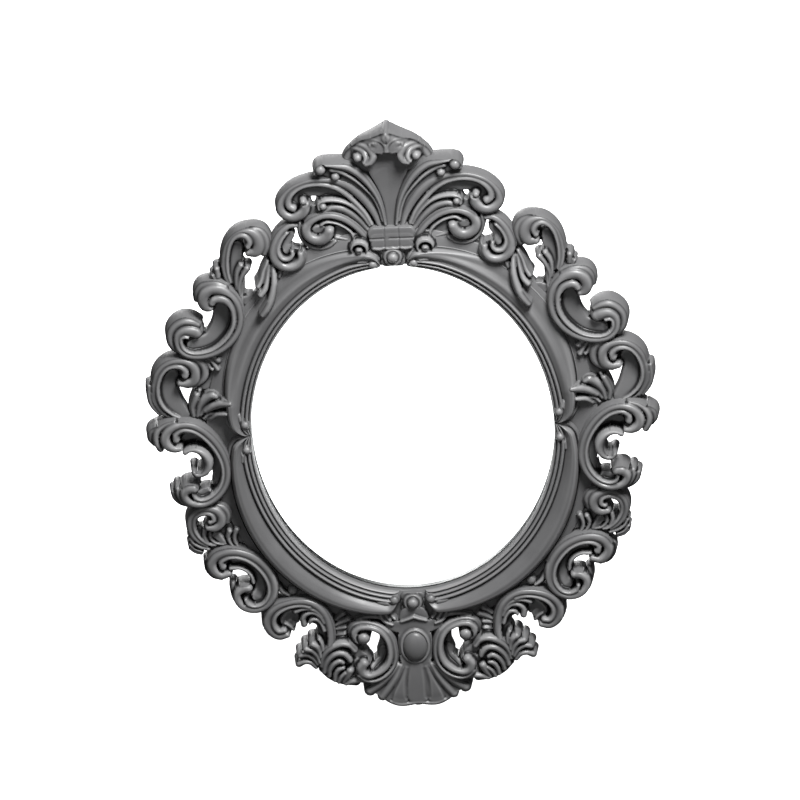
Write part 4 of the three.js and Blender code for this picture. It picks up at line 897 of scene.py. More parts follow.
UPPER_C_SCROLL = [
    ("plate", [(-176, 140, 7, 13), (-174.5, 128, 9, 13), (-177, 116, 10, 13), (-185, 106, 9, 14),
               (-196, 101.5, 8, 16), (-206, 101.5, 6, 19)]),
    ("leaf", [(-199, 150, 3.6, 19), (-198, 158, 4, 20), (-193.5, 164, 4.5, 21), (-186, 167, 3.5, 22),
              (-178, 166.5, 3.5, 22.5), (-170, 163, 3.5, 23)]),
    ("leaf", [(-199.5, 124, 3.4, 23), (-206, 127, 4.5, 24), (-213.5, 128, 4.8, 24.5), (-221, 124.5, 4.8, 24),
              (-226.5, 118, 4.4, 23.5), (-228, 110, 4, 23), (-226, 102.5, 3.6, 22.5), (-221.5, 97, 3, 22)]),
    ("roll", [(-186.5, 141.5, 3.5, 25), (-190.5, 143.5, 5.6, 25), (-193, 150, 5.6, 25.5),
              (-190.5, 157.5, 5.8, 26), (-184, 161.5, 5.5, 26), (-175, 160.5, 6, 26),
              (-166.5, 154.5, 5.4, 26), (-159.5, 146, 4.4, 26), (-156.6, 136, 3.6, 26),
              (-156.6, 126, 3.4, 26), (-159.5, 116, 3.4, 26), (-166, 106, 3.4, 26), (-175, 98, 3.2, 26),
              (-185, 93, 3, 26), (-195, 90.6, 2.8, 26), (-205, 90.8, 2.8, 26), (-213, 93.5, 3, 26),
              (-219, 99.5, 3, 26), (-221, 107, 3.2, 26), (-219.5, 114.5, 4, 26), (-213.5, 118.8, 5, 26.5),
              (-206, 117.8, 6, 26.5), (-201.5, 116, 6, 26)]),
    ("bead", [(-184, 147.5, 3.4, 26.5), (-181.5, 151, 4, 27), (-176.5, 151.8, 4.4, 27), (-169.5, 149, 4, 27),
              (-164.5, 141.5, 3, 27), (-163, 132, 2.7, 26.5), (-164, 122.5, 2.4, 26.5),
              (-168.8, 112.5, 2.1, 26.5), (-177, 103.3, 1.8, 26.5), (-186, 97.3, 1.6, 26),
              (-195, 94.8, 1.5, 26), (-204, 94.4, 1.5, 26), (-211, 96.6, 1.6, 26), (-215.8, 101.5, 1.8, 26),
              (-217, 107, 2, 26.5), (-216.5, 111, 1.8, 26.5), (-213.5, 113, 1.8, 27), (-210, 112, 1.6, 27)]),
]
FLANK_SCROLL = [
    ("plate", [(-228, 68, 6, 12), (-233, 58, 8, 12.5), (-231, 46, 9, 13.5), (-226, 35, 8, 15),
               (-219, 26, 6, 16.5)]),
    ("plate", [(-196, 57.5, 6.6, 13), (-191, 65, 6.5, 13), (-187, 75, 6, 13)]),
    ("leaf", [(-213, 57.5, 2.6, 20), (-204, 59.5, 3.2, 20.5), (-197, 65.5, 4.2, 21), (-195.5, 74, 4.6, 21.5),
              (-198.5, 82, 4.8, 22), (-205.5, 87, 4.2, 22)]),
    ("roll", [(-220, 61.5, 3.5, 23), (-213, 61, 4.6, 24), (-206.5, 64, 5, 25), (-204.5, 71, 4.8, 25.5),
              (-206, 78.5, 4.8, 25.5), (-211.5, 83.8, 4.2, 25), (-220, 86, 3.6, 24.5), (-229, 85, 3.6, 24),
              (-237, 80.5, 3.6, 23.5), (-243, 73, 3.4, 23), (-246, 63, 3, 22), (-247, 53, 2.6, 21),
              (-245.8, 43, 2.4, 20), (-241.5, 33.5, 2, 19), (-234.5, 26, 1.6, 18), (-227, 22.5, 1.2, 17)]),
    ("bead", [(-215, 71, 4, 26), (-214.5, 75.5, 3.6, 26), (-219, 79.8, 2.8, 25.5), (-226, 80.8, 2.4, 25),
              (-232.5, 78.5, 2.2, 24.5), (-238, 72.5, 2.2, 24), (-241.8, 64, 2.2, 23.5), (-243.3, 54, 2, 23),
              (-242, 44, 2, 22), (-237.5, 35, 1.8, 21), (-230.5, 28, 1.5, 20), (-223, 23.5, 1.2, 19)]),
    ("leaf", [(-251.5, 59.5, 2.6, 20), (-252, 49, 2.4, 20), (-250.5, 40.5, 2, 19.5), (-246.5, 33, 1.6, 18.5),
              (-242, 27.5, 1.2, 17.5)]),
    ("leaf", [(-249, 52, 1.6, 20.5), (-247.8, 43, 1.6, 20), (-244, 34.5, 1.4, 19), (-238.5, 27, 1.2, 18)]),
    ("leaf", [(-194, 90, 2, 19), (-187, 88.8, 3, 20), (-181, 84, 4, 21)]),
    ("leaf", [(-195, 88, 1.6, 18), (-189.5, 84.5, 2, 19), (-185, 79, 2.4, 20), (-182, 74.5, 2.8, 21)]),
    ("leaf", [(-196.5, 86.5, 1.4, 18), (-192.5, 82, 1.6, 19), (-189.5, 76.5, 1.8, 19.5),
              (-187.5, 74, 1.8, 20)]),
]
WAIST_LEAF = [
    ("leaf", [(-196, 30, 3, 20), (-186, 36.4, 4, 25), (-178, 39.4, 4, 29), (-171.5, 40, 3, 31)]),
    ("leaf", [(-191, 21, 2.2, 19), (-184, 26.4, 2.6, 24), (-176, 28, 2.4, 28)]),
    ("leaf", [(-208.5, 24, 2, 17), (-209.5, 33, 3, 18.5), (-206.5, 42, 3.6, 20), (-204.5, 47.5, 3, 20.5)]),
    ("leaf", [(-202.5, 47, 1.8, 18), (-201.5, 52, 1.8, 19)]),
    ("leaf", [(-204.5, 24, 2, 17), (-202, 34, 3.4, 19), (-196, 42, 4.8, 21), (-189.5, 46.5, 5, 22.5),
              (-185.5, 45.5, 3.6, 22.5)]),
    ("leaf", [(-201, 25, 1.8, 17), (-196, 32, 2.6, 19), (-189, 35.8, 3.4, 20.5), (-181, 37.2, 4, 22),
              (-176.5, 37.5, 3.6, 22.5)]),
    ("leaf", [(-198, 21, 1.6, 17), (-193.5, 25.5, 2, 18.5), (-187, 27, 2, 19.5), (-180, 26.8, 2.2, 20.5),
              (-176.8, 26.3, 2.2, 21)]),
    ("plate", [(-203, 27, 4, 14), (-196, 33, 7, 14), (-186, 34, 6, 14)]),
]
WAIST_SCROLL = [
    ("plate", [(-219, -1, 4, 12), (-209, 2, 5, 12), (-199, -3, 6, 12), (-192, -14, 5, 12),
               (-188.5, -26, 4.5, 12), (-187.5, -38, 4, 13), (-189, -50, 4, 14)]),
    ("plate", [(-199, -57.5, 5, 20), (-206, -57, 3.5, 22)]),
    ("leaf", [(-249, -2, 2.4, 22), (-252.5, 4, 3.2, 23), (-251.5, 10.5, 3.4, 24), (-247, 14.5, 3, 25)]),
    ("leaf", [(-243, -6.5, 3.2, 27), (-246.5, 0, 3.2, 28), (-247, 8, 3.2, 28.5), (-243.5, 15, 3, 28.5),
              (-236.5, 20, 2.6, 28), (-228, 22.6, 2, 27.5)]),
    ("roll", [(-223.5, -6, 3, 30), (-229.5, -5.8, 3.8, 31), (-236, -1.5, 4.8, 32), (-238, 5.5, 5, 32),
              (-235, 12.8, 4.6, 31.5), (-228, 17.8, 4, 31), (-219, 19.3, 3.6, 30), (-210, 17.5, 3.6, 29.5),
              (-201.5, 12.5, 3.8, 29), (-193.5, 5, 4, 28.5), (-186.5, -4.5, 4, 28), (-181, -15.5, 3.8, 27.5),
              (-177.8, -27, 3.6, 27), (-177.3, -38, 3.6, 27), (-180, -48.5, 3.4, 27),
              (-185.5, -57.5, 3.4, 27.5), (-193.5, -64, 3.4, 28.5), (-203, -67.2, 3.4, 30),
              (-212, -66, 3.6, 31.5), (-219, -61.5, 3.8, 32.5), (-221.5, -54.5, 4.2, 33),
              (-218, -49.5, 5, 33.5), (-212, -49, 4.8, 33.5)]),
    ("bead", [(-227, 4, 3.6, 31), (-227, 9.5, 3, 31), (-221.5, 13.6, 2.2, 30.5), (-213, 13, 2.1, 30),
              (-205.5, 9.3, 2.1, 29.5), (-198, 2.6, 2.1, 29), (-191.5, -5.5, 2.1, 28.5), (-186.3, -15, 2, 28),
              (-182.8, -26, 1.9, 27.5), (-182, -37, 1.9, 27), (-184.2, -47, 1.9, 27),
              (-189.5, -55.5, 1.8, 27.5), (-197, -61, 1.8, 28.5), (-205, -62.5, 1.8, 29.5),
              (-211, -59.5, 2, 30.5), (-212.8, -55, 2, 31)]),
    ("leaf", [(-232.8, -55, 2.6, 22), (-231, -61, 2.8, 22), (-226, -66.5, 2.6, 22), (-219, -70, 2, 22)]),
    ("leaf", [(-228, -50, 2.6, 27), (-227.2, -57, 2.6, 27), (-223, -64, 2.4, 27), (-215.5, -69.2, 2, 27)]),
    ("leaf", [(-218.5, -9.5, 2.4, 32), (-214.5, -7.5, 2, 32), (-208.5, -7.2, 2.6, 32.5),
              (-202.5, -9.8, 3.6, 33.5), (-197.8, -15.5, 4.6, 33.8), (-195.6, -22, 4.8, 33.8),
              (-197.3, -29, 4, 33.8), (-202.5, -33.4, 2.6, 33.8), (-208.5, -33.3, 2.4, 33.8),
              (-210.8, -30.5, 2, 33.8)]),
]
HIP_SCROLL = [
    ("plate", [(-208, -101, 4, 14), (-204, -109, 4, 15)]),
    ("plate", [(-194, -101, 5, 13), (-186, -100, 7, 13), (-176, -103, 6.5, 13), (-168, -110, 6, 13)]),
    ("plate", [(-204, -116, 4.5, 13), (-193, -117, 5, 13), (-181, -116, 5, 13)]),
    ("leaf", [(-181, -90, 3.4, 21), (-179.5, -82.5, 3.8, 21.5), (-183, -75.5, 3.8, 22),
              (-190, -71.8, 3, 22)]),
    ("roll", [(-199.5, -94.8, 3.4, 25), (-193, -95.3, 4.2, 25.5), (-187.5, -91.5, 4.6, 25.5),
              (-186, -85, 4.8, 25.5), (-189, -78.5, 4.6, 25.5), (-196, -75, 4, 25), (-204, -74.8, 3.6, 24.5),
              (-211.5, -77.5, 3.4, 24), (-216.5, -83, 3.2, 23.5), (-218.5, -90, 3, 23),
              (-218, -97.5, 2.8, 22), (-214.8, -105, 2.4, 21), (-209, -111.5, 2, 20), (-202, -116, 1.6, 19)]),
    ("bead", [(-197.5, -88.5, 2.2, 26), (-193.8, -86.5, 2.6, 26), (-195, -81.3, 2.4, 26),
              (-200.5, -79, 2.1, 25.5), (-207, -80, 2, 25), (-212, -84, 1.9, 24), (-214, -91, 1.9, 23),
              (-213, -99, 1.8, 22), (-209, -106.5, 1.6, 21), (-203, -112.5, 1.3, 20), (-197, -116, 1, 19)]),
    ("leaf", [(-218.8, -106.5, 1.8, 19.5), (-215, -112.5, 2, 19.5), (-208.5, -117, 2, 19.5),
              (-200.5, -119.5, 1.6, 19)]),
    ("leaf", [(-219.5, -113.5, 1.6, 18), (-214.5, -119, 1.6, 18), (-207.5, -122, 1.4, 18)]),
    ("leaf", [(-219, -118.3, 1.4, 17), (-214, -122.5, 1.5, 17), (-208, -124.5, 1.3, 17)]),
    ("leaf", [(-203.3, -98.5, 2.2, 20), (-203.8, -107, 2.2, 19.5), (-200.5, -113, 1.9, 19),
              (-194, -116, 1.5, 18.5)]),
    ("leaf", [(-198.5, -103, 1.8, 19), (-197.5, -109, 1.8, 19), (-193, -113.5, 1.6, 18.5),
              (-186, -115.5, 1.2, 18)]),
    ("plate", [(-192, -105, 4, 18), (-187, -111, 3, 17.5), (-183.5, -115, 1.5, 17)]),
    ("leaf", [(-178.5, -101, 2.6, 21), (-180.5, -107.5, 2, 19.5), (-178.8, -114, 1.8, 18.5),
              (-176, -118, 1.4, 18)]),
    ("leaf", [(-171.3, -99.5, 2.8, 21), (-173.8, -106, 2.2, 19.5), (-174, -112.5, 2, 18.5),
              (-171.5, -118, 1.4, 18)]),
]
LOWER_C_SCROLL = [
    ("plate", [(-176, -136, 3, 14), (-165, -138.5, 4, 14), (-156, -146, 5, 14), (-150.5, -156, 6, 14),
               (-150, -166, 6.5, 15), (-154, -173, 6, 18)]),
    ("leaf", [(-203, -133, 2.6, 19), (-202.5, -141, 2.6, 19), (-197, -148.5, 2.6, 19),
              (-189, -151.5, 2, 19.5)]),
    ("leaf", [(-178, -158, 2.6, 18), (-178.3, -167, 2.6, 18.5), (-175, -177, 2.6, 19),
              (-168, -184, 2.6, 19.5), (-157, -188, 2, 20)]),
    ("roll", [(-181.5, -145.5, 3.2, 25), (-189.5, -147, 4.2, 25.5), (-196, -142, 4.6, 26),
              (-198, -134, 4.8, 26), (-194, -126.8, 5, 26), (-186, -122.8, 4.8, 26), (-176, -122.2, 4.6, 26),
              (-165.5, -124.6, 4.6, 26), (-155, -130, 4.6, 26), (-146.2, -138.2, 4.4, 26),
              (-139.8, -148.5, 4.2, 26), (-137, -159.5, 4, 26), (-138, -170.5, 3.8, 26),
              (-143, -179, 3.6, 26.5), (-151.5, -184.2, 3.4, 27), (-161, -184.6, 3.4, 27.5),
              (-169.5, -180.3, 3.6, 28), (-174, -173, 3.8, 28), (-173.5, -166, 3.8, 28),
              (-168.5, -162, 4, 28), (-162, -161.5, 3.6, 27.5)]),
    ("bead", [(-187, -137, 3.8, 26.5), (-188.3, -132, 2.8, 26.5), (-183.3, -128.3, 2.2, 26.5),
              (-175, -127.4, 2, 26.5), (-166, -129.8, 2, 26.5), (-157.3, -135.2, 2, 26.5),
              (-149.8, -143.3, 2, 26.5), (-144.3, -152.8, 2, 26.5), (-142, -162.8, 2, 26.5),
              (-143.6, -171.8, 1.8, 27), (-149, -178.8, 1.8, 27), (-157, -180.8, 1.8, 27.5),
              (-163.8, -177.8, 2, 28), (-166, -173, 2, 28)]),
    ("leaf", [(-179.5, -140, 2.2, 24), (-171, -139.6, 1.6, 24), (-163.5, -143.3, 1.6, 24),
              (-159, -149.5, 1.6, 24), (-157.4, -157, 1.6, 23.5)]),
    ("plate", [(-133, -153, 4, 13.5), (-130, -165, 6, 13.5), (-122, -171, 5.5, 13.5)]),
    ("leaf", [(-135, -152, 1.4, 19), (-133, -161, 2, 19.5), (-129.3, -168.5, 2.2, 20),
              (-122.5, -173.3, 1.8, 20)]),
    ("ball", [(-118.3, -167.5, 5, 22.5)]),
]
add_ornaments({"shoulder_scroll": SHOULDER_SCROLL, "upper_c_scroll": UPPER_C_SCROLL,
               "flank_scroll": FLANK_SCROLL, "waist_leaf": WAIST_LEAF, "waist_scroll": WAIST_SCROLL,
               "hip_scroll": HIP_SCROLL, "lower_c_scroll": LOWER_C_SCROLL})

# Feet
# Each lower corner carries a wooden scroll with a spray of leaves in its hollow, and a shell of curved lobes
# beside it. They stand nearly as far forward as the pendant, and are glued to the carcass.

FOOT_SCROLL = [
    ("plate", [(-127, -201, 6, 17), (-121, -196, 6, 16.5), (-117, -200, 4.5, 16)]),
    ("plate", [(-127, -208.5, 5, 18), (-122, -204.5, 4.6, 17.5)]),
    ("leaf", [(-148.3, -205, 2.4, 18), (-148.3, -196, 2.4, 18)]),
    ("roll", [(-126.5, -214.5, 3, 25), (-134, -216, 3.4, 25), (-141, -212, 3.8, 25),
              (-145.3, -204.5, 4, 25.5), (-145.3, -196, 4, 26), (-141.5, -188.6, 4, 26.5),
              (-134.5, -183.3, 3.8, 26.5), (-125.5, -180, 3.6, 27), (-115.5, -178.4, 3.6, 27.5),
              (-105.5, -179, 3.8, 28), (-96.5, -183, 4, 28.5), (-89.5, -190, 4.2, 29), (-85.3, -199, 4.2, 29),
              (-83, -209, 4, 29.5), (-82.3, -219, 3.6, 30), (-84, -229, 3, 30)]),
    ("bead", [(-129, -209.3, 2.6, 26), (-134.8, -209.6, 2.8, 26), (-138.6, -204.5, 2.8, 26),
              (-138.8, -197.5, 2.6, 26.5), (-134.8, -190.5, 2.3, 27), (-127.5, -185.8, 2.1, 27),
              (-119, -183.2, 1.9, 27.5), (-110, -182.6, 1.8, 28), (-102, -184.5, 1.8, 28.5)]),
    ("leaf", [(-128, -203.5, 1.6, 20), (-123, -207, 2, 20), (-120.5, -210.5, 2, 19)]),
    ("leaf", [(-116.5, -189.3, 2.8, 26), (-110, -186.8, 2.2, 27), (-102.5, -186.3, 2, 28),
              (-95.5, -189.3, 1.8, 28.5), (-90.5, -195, 1.5, 29)]),
    ("leaf", [(-109, -203.5, 3, 26), (-109.3, -197, 2.8, 26.5), (-105.5, -192, 2.6, 27.5),
              (-98.5, -190.8, 2.6, 28), (-92.5, -194.5, 2.4, 29), (-88.8, -201.5, 2, 29)]),
    ("leaf", [(-102.8, -201.5, 2, 26.5), (-100.5, -198.3, 2.2, 27.5), (-95.5, -198.3, 2.4, 28),
              (-91.3, -203, 2.2, 28.5), (-89, -210, 2, 29)]),
    ("plate", [(-104, -199, 4, 18), (-93, -203, 5, 19), (-90, -214, 5, 20), (-91, -226, 6, 20),
               (-98, -236, 7, 20), (-103, -241, 6, 20)]),
    ("leaf", [(-101, -223.5, 3.6, 32), (-97.5, -226, 3.4, 32), (-95, -231, 2.6, 31), (-93.7, -238, 1.8, 30)]),
    ("leaf", [(-94.3, -218.5, 1.8, 31), (-92, -224, 1.8, 31), (-91.3, -231, 1.5, 30)]),
    ("leaf", [(-108.3, -229, 3.2, 30), (-102.5, -230.5, 3, 30.5), (-97.6, -236, 2.6, 30),
              (-95.2, -244, 2, 29)]),
    ("leaf", [(-114.5, -237, 3, 26.5), (-108, -235.8, 3, 27.5), (-101.5, -239.5, 2.6, 28),
              (-97.3, -246, 2, 28)]),
    ("leaf", [(-116, -246.5, 3.4, 25), (-110, -243.6, 2.8, 26.5), (-104, -244.6, 2.4, 27),
              (-99, -249.5, 2, 27)]),
]
FOOT_SHELL = [
    ("plate", [(-92.5, -254, 4, 19), (-84, -261.6, 4.4, 20.5), (-72.5, -266.6, 4.6, 21.5),
               (-60, -268.4, 4.6, 22)]),
    ("plate", [(-82, -240, 8, 20), (-74, -248, 9, 20), (-68, -258, 7, 20), (-60, -264, 4, 20)]),
    ("plate", [(-70, -230, 6, 19), (-72, -214, 5, 17), (-71, -203, 5, 17)]),
    ("plate", [(-61, -243, 5.5, 22), (-57, -252, 6, 22), (-62, -259, 6, 22)]),
    ("leaf", [(-93.5, -248, 2.6, 28), (-92, -240, 3, 29.5), (-87.5, -232.5, 3.4, 31), (-80, -227, 3.4, 32),
              (-71.5, -224.7, 3.2, 32.5), (-64, -227, 3, 32), (-59.5, -232.5, 2.6, 31.5)]),
    ("leaf", [(-91, -255, 2.6, 28), (-89.3, -247.5, 3, 29.5), (-85, -240, 3.2, 31), (-78, -235, 3.4, 32),
              (-71, -235.2, 3.4, 32), (-66.2, -239.8, 3.2, 31.5), (-64.5, -243.5, 2.6, 31)]),
    ("leaf", [(-86.5, -260, 2.4, 27), (-85, -252.5, 2.8, 29), (-80.5, -246, 3.2, 30.5),
              (-75, -243.3, 3.2, 31), (-72, -245, 2.6, 30.5)]),
    ("leaf", [(-81, -265, 2.2, 26.5), (-79.5, -258, 2.8, 28), (-76, -252.5, 3, 29.5),
              (-72.3, -251.3, 2.6, 29.5)]),
    ("leaf", [(-77, -267.5, 2, 26), (-74, -261.5, 2.6, 27.5), (-70, -257.5, 2.4, 28.5)]),
    ("leaf", [(-72, -268, 1.8, 26), (-68.5, -262.5, 3, 28), (-65.3, -255, 4, 30)]),
    ("leaf", [(-70, -269.5, 2, 26.5), (-62, -266.5, 3.2, 28.5), (-53, -265.8, 2.8, 28.5),
              (-45, -267.8, 2, 27.5)]),
    ("leaf", [(-77, -203, 1.6, 18), (-73.5, -199, 2.2, 19.5), (-69.3, -195.8, 3, 21)]),
    ("leaf", [(-77.5, -209, 1.6, 18), (-71, -205, 2.6, 19.5), (-64.5, -202, 3.4, 21)]),
    ("leaf", [(-78, -213, 1.4, 18), (-73, -212, 2, 19), (-68.3, -211, 2, 20)]),
    ("leaf", [(-77.5, -220, 1.6, 18), (-73, -219, 2.4, 19.5), (-69, -218, 2.2, 20)]),
]
add_ornaments({"foot_scroll": FOOT_SCROLL, "foot_shell": FOOT_SHELL})

# Pendant
# Under the bottom boss hangs a fluted wooden shell with an oval cabochon let into it, between two C scrolls
# whose hollows are cut right through. The four pieces are carved apart and glued together.

PENDANT_SCROLL = [
    ("plate", [(-31, -238, 4, 14), (-32, -247, 4.5, 16), (-38, -252.5, 4.5, 20), (-42, -254, 3, 24)]),
    ("plate", [(-57, -246.5, 4, 25), (-49, -247.5, 4.6, 27)]),
    ("plate", [(-52, -243, 5, 24), (-58, -237, 5, 22)]),
    ("plate", [(-29.5, -222, 5, 12), (-28.5, -232, 5.5, 12), (-31, -242, 6, 14)]),
    ("plate", [(-46, -212.6, 4.4, 14), (-36, -213.6, 4.6, 14)]),
    ("leaf", [(-31, -194, 2, 21), (-31.5, -200, 2.3, 23), (-27.4, -206, 2, 25), (-20.5, -208.6, 1.4, 26)]),
    ("leaf", [(-26, -193.5, 2, 21), (-26.5, -199, 2.3, 23), (-23, -204.4, 1.9, 25)]),
    ("leaf", [(-21, -194.5, 1.8, 21), (-21, -199.5, 2, 23), (-18, -203, 1.6, 25)]),
    ("leaf", [(-56, -202.5, 2.4, 22), (-47, -200.3, 2.6, 22.5), (-37, -200.5, 2.6, 22.5),
              (-31, -202, 2, 22.5)]),
    ("leaf", [(-63, -219, 1.6, 23), (-63.5, -213, 2, 24), (-60, -207.5, 2.2, 25), (-52, -205, 2.2, 25.5),
              (-43, -205.6, 2.2, 26), (-34, -209, 2.2, 26.5), (-26.5, -214.8, 2.2, 27.5),
              (-21.3, -223, 2.2, 28.5), (-19, -232.5, 2.2, 29.5), (-18.7, -243, 2.2, 30),
              (-21.5, -252, 2.2, 30.5), (-27.5, -259.5, 2.2, 31), (-36, -264.6, 2, 31.5), (-44, -266, 2, 32),
              (-51, -264, 2.2, 32.5), (-56, -259, 2.4, 33)]),
    ("roll", [(-50, -226, 3, 28), (-56.5, -222, 3.6, 28.5), (-59, -215.5, 3.4, 28.5), (-55, -210.5, 3, 28.5),
              (-47, -209.6, 2.8, 28.5), (-39, -211.4, 2.8, 29), (-31.5, -216, 3, 29.5),
              (-26.5, -223, 3, 30.5), (-24, -232, 3, 31), (-24, -241, 3, 31.5), (-27, -249.5, 3, 32),
              (-33, -255.6, 3, 32.5), (-40, -259, 2.8, 33), (-47, -260, 3.4, 33.5), (-52.5, -257, 4.6, 33.8),
              (-53.5, -251.5, 5, 33.8), (-50.5, -246.5, 4.4, 33.8)]),
    ("ball", [(-50, -221.5, 6.2, 30)]),
]
PENDANT_SHELL = [
    ("plate", [(-1, -203, 12, 24), (0, -220, 15, 25), (1, -236, 16, 26), (1, -252, 14, 26),
               (-8, -262, 10, 25), (-18, -272, 10, 24)]),
    ("plate", [(-24, -210.5, 3.4, 23), (-12, -211.5, 7, 24.6), (1, -211.5, 8, 25)]),
    ("plate", [(-40, -275, 6, 25.6), (-31, -281, 7, 25.8), (-17, -288.6, 7.2, 26), (1.4, -287.8, 6.6, 26)]),
    ("leaf", [(-11.4, -205.4, 1.6, 26.4), (-5.6, -203.4, 1.7, 27.2), (1, -200.8, 1.8, 27.8)]),
    ("leaf", [(-17, -252, 3, 27), (-26, -262.5, 4, 28.5), (-36, -271.5, 5, 28.5), (-46.2, -278.5, 5.8, 28)]),
    ("leaf", [(-14, -253, 2.5, 27), (-20, -265, 3.8, 28.5), (-28, -277, 4.6, 28.5), (-34, -285, 4.8, 28)]),
    ("plate", [(-9.5, -257, 4, 26.6), (-12, -270, 6.4, 27.6), (-15.5, -282, 8, 28), (-17, -287.4, 8, 27.6)]),
    ("plate", [(1.3, -252, 6, 26.6), (1.4, -268, 9, 27.4), (1.5, -284.6, 10.4, 27.6)]),
    ("groove", [(-6.4, -257, 2, 0.8), (-8.4, -270, 3.2, 1.7), (-8.6, -286, 3.6, 1.4)]),
    ("groove", [(-10.4, -254, 0.8, 0.6), (-15.6, -266, 1.1, 1.6), (-22.6, -280, 1.2, 1.6),
                (-25.4, -290, 1.1, 1)]),
    ("roll", [(-26, -290.4, 1.2, 27.6), (-17, -293.6, 1.3, 28.4), (-8, -293.4, 1.3, 28.2),
              (1.4, -292.6, 1.3, 28)]),
]
CABOCHON_CENTRE = -232.4
CABOCHON_SEAT = 20.4
CABOCHON_GIRDLE = 26
CABOCHON_CROWN = 6.8
CABOCHON_ACROSS = 12
CABOCHON_UP = 15.6
CABOCHON_TIP = 0.002
CABOCHON_LOOPS = 26
CABOCHON_STEPS = 96
RIM_ACROSS = 13.6
RIM_UP = 17.2
RIM_HALF_WIDTH = 1.6
RIM_HEIGHT = 27.5


def cabochon_shape():
    """A domed oval boss: a straight wall from its seat to the girdle, then loops that shrink with the cosine
    of an angle while the crown rises with its sine, to a tip small enough to close with a fan."""
    rise = np.concatenate([[0], np.linspace(0, np.pi / 2, CABOCHON_LOOPS)])
    share = (np.cos(rise) * (1 - CABOCHON_TIP) + CABOCHON_TIP)[:, None]
    crown = CABOCHON_GIRDLE + CABOCHON_CROWN * np.sin(rise[1:]) ** 0.9
    height = np.concatenate([[CABOCHON_SEAT], crown])[:, None]
    angles = np.linspace(0, 2 * np.pi, CABOCHON_STEPS, endpoint=False)
    x = share * CABOCHON_ACROSS * np.cos(angles)
    z = CABOCHON_CENTRE + share * CABOCHON_UP * np.sin(angles)
    return capped(np.stack([x, -height + 0 * angles, z], axis=-1))


cabochon_points, cabochon_faces = cabochon_shape()
make_piece("pendant_cabochon", cabochon_points, cabochon_faces, satin_grey, BODY,
           ["pendant_cabochon"], relief=np.zeros(len(cabochon_points)))
# squared() would move the rim aside, so its X is first set back by what that adds.
left_turn = np.linspace(np.pi / 2, 3 * np.pi / 2, 13)
rim_route = oval_route(CABOCHON_CENTRE, RIM_ACROSS, RIM_UP, RIM_HALF_WIDTH, RIM_HEIGHT, left_turn)
cabochon_rim = ("roll", [(x - LEAN_ACROSS * z - DRAWING_OFFSET, z, *size) for x, z, *size in rim_route])
add_carving("pendant_shell", relief_shell(both_sides([*PENDANT_SHELL, cabochon_rim])), "pendant_shell")
add_ornaments({"pendant_scroll": PENDANT_SCROLL})

# Back hardware
# Four brass turn buttons on brass screws swing over the slip to hold it, and two zinc plated D-ring hangers
# are screwed to the back of the carcass. They are stamped and turned stock fittings.

BRASS = (0.55, 0.36, 0.13, 1)
ZINC = (0.55, 0.56, 0.58, 1)
METAL_DULLED = 0.72
METAL_MOTTLE = 160
ROUGH_SPREAD = 0.12


def fitting_material(name, colour, rough):
    """Metal with a mottled colour, whose roughness runs up from a value by a small spread."""
    material, tree, shader = new_material(name)
    shader.inputs["Metallic"].default_value = 1
    uneven = group_node(tree, mottle, Size=METAL_MOTTLE)
    mottled = blend_colour(tree, uneven.outputs["Mask"], dulled(colour, METAL_DULLED), colour)
    tree.links.new(mottled, shader.inputs["Base Color"])
    rough_ramp = mask_ramp(tree, uneven.outputs["Mask"], -rough / ROUGH_SPREAD, (1 - rough) / ROUGH_SPREAD)
    tree.links.new(rough_ramp, shader.inputs["Roughness"])
    return material


brass = fitting_material("aged_brass", BRASS, rough=0.3)
zinc = fitting_material("zinc_plate", ZINC, rough=0.36)

for node_name, node_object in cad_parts.items():
    if node_name.startswith("turn_button"):
        node_object.material_slots[0].material = brass
    elif node_name.startswith("hanger"):
        node_object.material_slots[0].material = zinc

# Room
# A white floor lies under the frame. One soft lamp stands above it, a weak one in front and one behind, and
# the camera looks down at the front as the photograph does. None of this is part of the frame.

CAMERA_TURN = 2.35
CAMERA_RISE = 22
CAMERA_ROLL = -3.34
PICTURE_WIDTH = 0.8
OFF_CENTRE_RIGHT = 0.0032
OFF_CENTRE_DOWN = 0.0215
CAMERA_DISTANCE = 3
TABLE_LEVEL = -0.32
TABLE_REACH = 30
AMBIENT = 0.08


def aimed(direction, roll=0):
    """The rotation of a lamp or a camera that looks back along a direction from the object."""
    turn_quaternion = Vector(direction).to_track_quat("Z", "Y")
    return turn_quaternion @ Quaternion((0, 0, 1), np.radians(roll))


def white_table_material():
    """A white surface that glows, so that it stays white where the lamps hardly reach it."""
    material, _, shader = new_material("white_table")
    shader.inputs["Base Color"].default_value = (1, 1, 1, 1)
    shader.inputs["Roughness"].default_value = 1
    shader.inputs["Specular IOR Level"].default_value = 0
    shader.inputs["Emission Color"].default_value = (1, 1, 1, 1)
    shader.inputs["Emission Strength"].default_value = 1
    return material


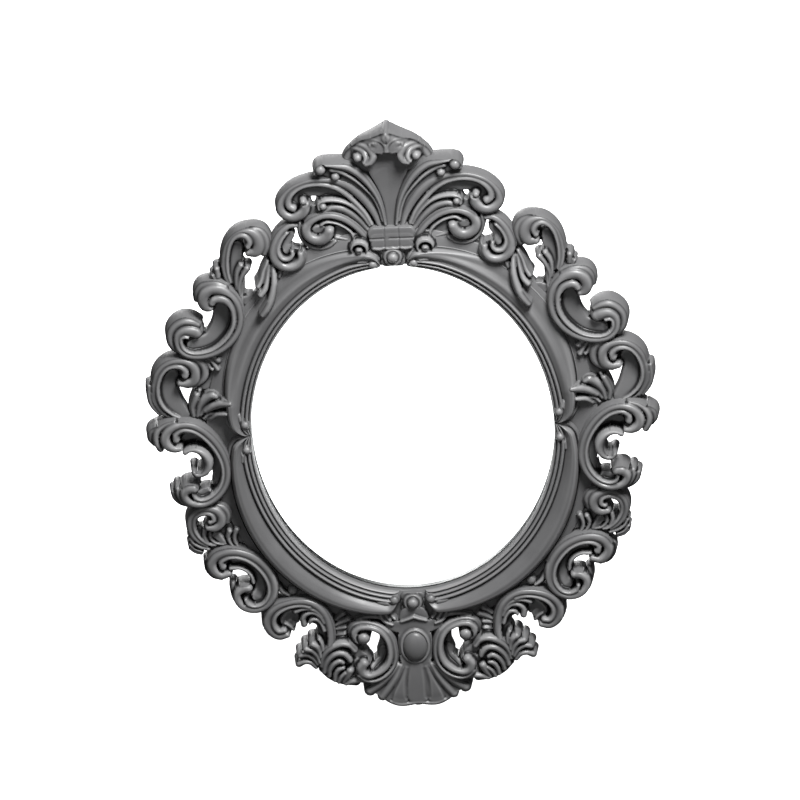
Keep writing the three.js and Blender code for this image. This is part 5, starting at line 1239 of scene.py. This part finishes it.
table_mesh = bpy.data.meshes.new("table_top")
table_signs = ((-1, -1), (1, -1), (1, 1), (-1, 1))
table_corners = [(TABLE_REACH * x, TABLE_REACH * y, TABLE_LEVEL) for x, y in table_signs]
table_mesh.from_pydata(table_corners, [], [(0, 1, 2, 3)])
table_mesh.materials.append(white_table_material())
table_top = bpy.data.objects.new("table_top", table_mesh)
table_top.visible_diffuse = False
table_top.visible_glossy = False
bpy.context.scene.collection.objects.link(table_top)

turn_angle = np.radians(CAMERA_TURN)
rise_angle = np.radians(CAMERA_RISE)
level_share = np.cos(rise_angle)
toward_camera = Vector((np.sin(turn_angle) * level_share, -np.cos(turn_angle) * level_share,
                        np.sin(rise_angle)))
camera = bpy.data.objects.new("camera", bpy.data.cameras.new("camera"))
camera.data.type = "ORTHO"
camera.data.ortho_scale = PICTURE_WIDTH
camera.data.clip_end = 100
camera.rotation_mode = "QUATERNION"
camera.rotation_quaternion = aimed(toward_camera, CAMERA_ROLL)
camera.location = CAMERA_DISTANCE * toward_camera
camera.location -= camera.rotation_quaternion @ Vector((OFF_CENTRE_RIGHT, -OFF_CENTRE_DOWN, 0))
bpy.context.scene.collection.objects.link(camera)
bpy.context.scene.camera = camera


def soft_lamp(name, place, width, power):
    """A square area lamp that looks at the middle of the frame, and isn't seen through the glass."""
    lamp = bpy.data.objects.new(name, bpy.data.lights.new(name, "AREA"))
    lamp.data.size = width
    lamp.data.energy = power
    lamp.visible_transmission = False
    lamp.location = place
    lamp.rotation_mode = "QUATERNION"
    lamp.rotation_quaternion = aimed(place)
    bpy.context.scene.collection.objects.link(lamp)


soft_lamp("lamp_above", (0.6, -1.0, 1.8), width=0.7, power=98)
soft_lamp("lamp_front", (-0.5, -2.6, 0.5), width=1.2, power=8)
soft_lamp("lamp_behind", (-0.5, 2.5, 0.7), width=1.6, power=70)

world = bpy.data.worlds.new("room")
world.use_nodes = True
background = world.node_tree.nodes["Background"]
background.inputs["Color"].default_value = (1, 1, 1, 1)
background.inputs["Strength"].default_value = AMBIENT
bpy.context.scene.world = world
bpy.context.scene.view_settings.view_transform = "Standard"
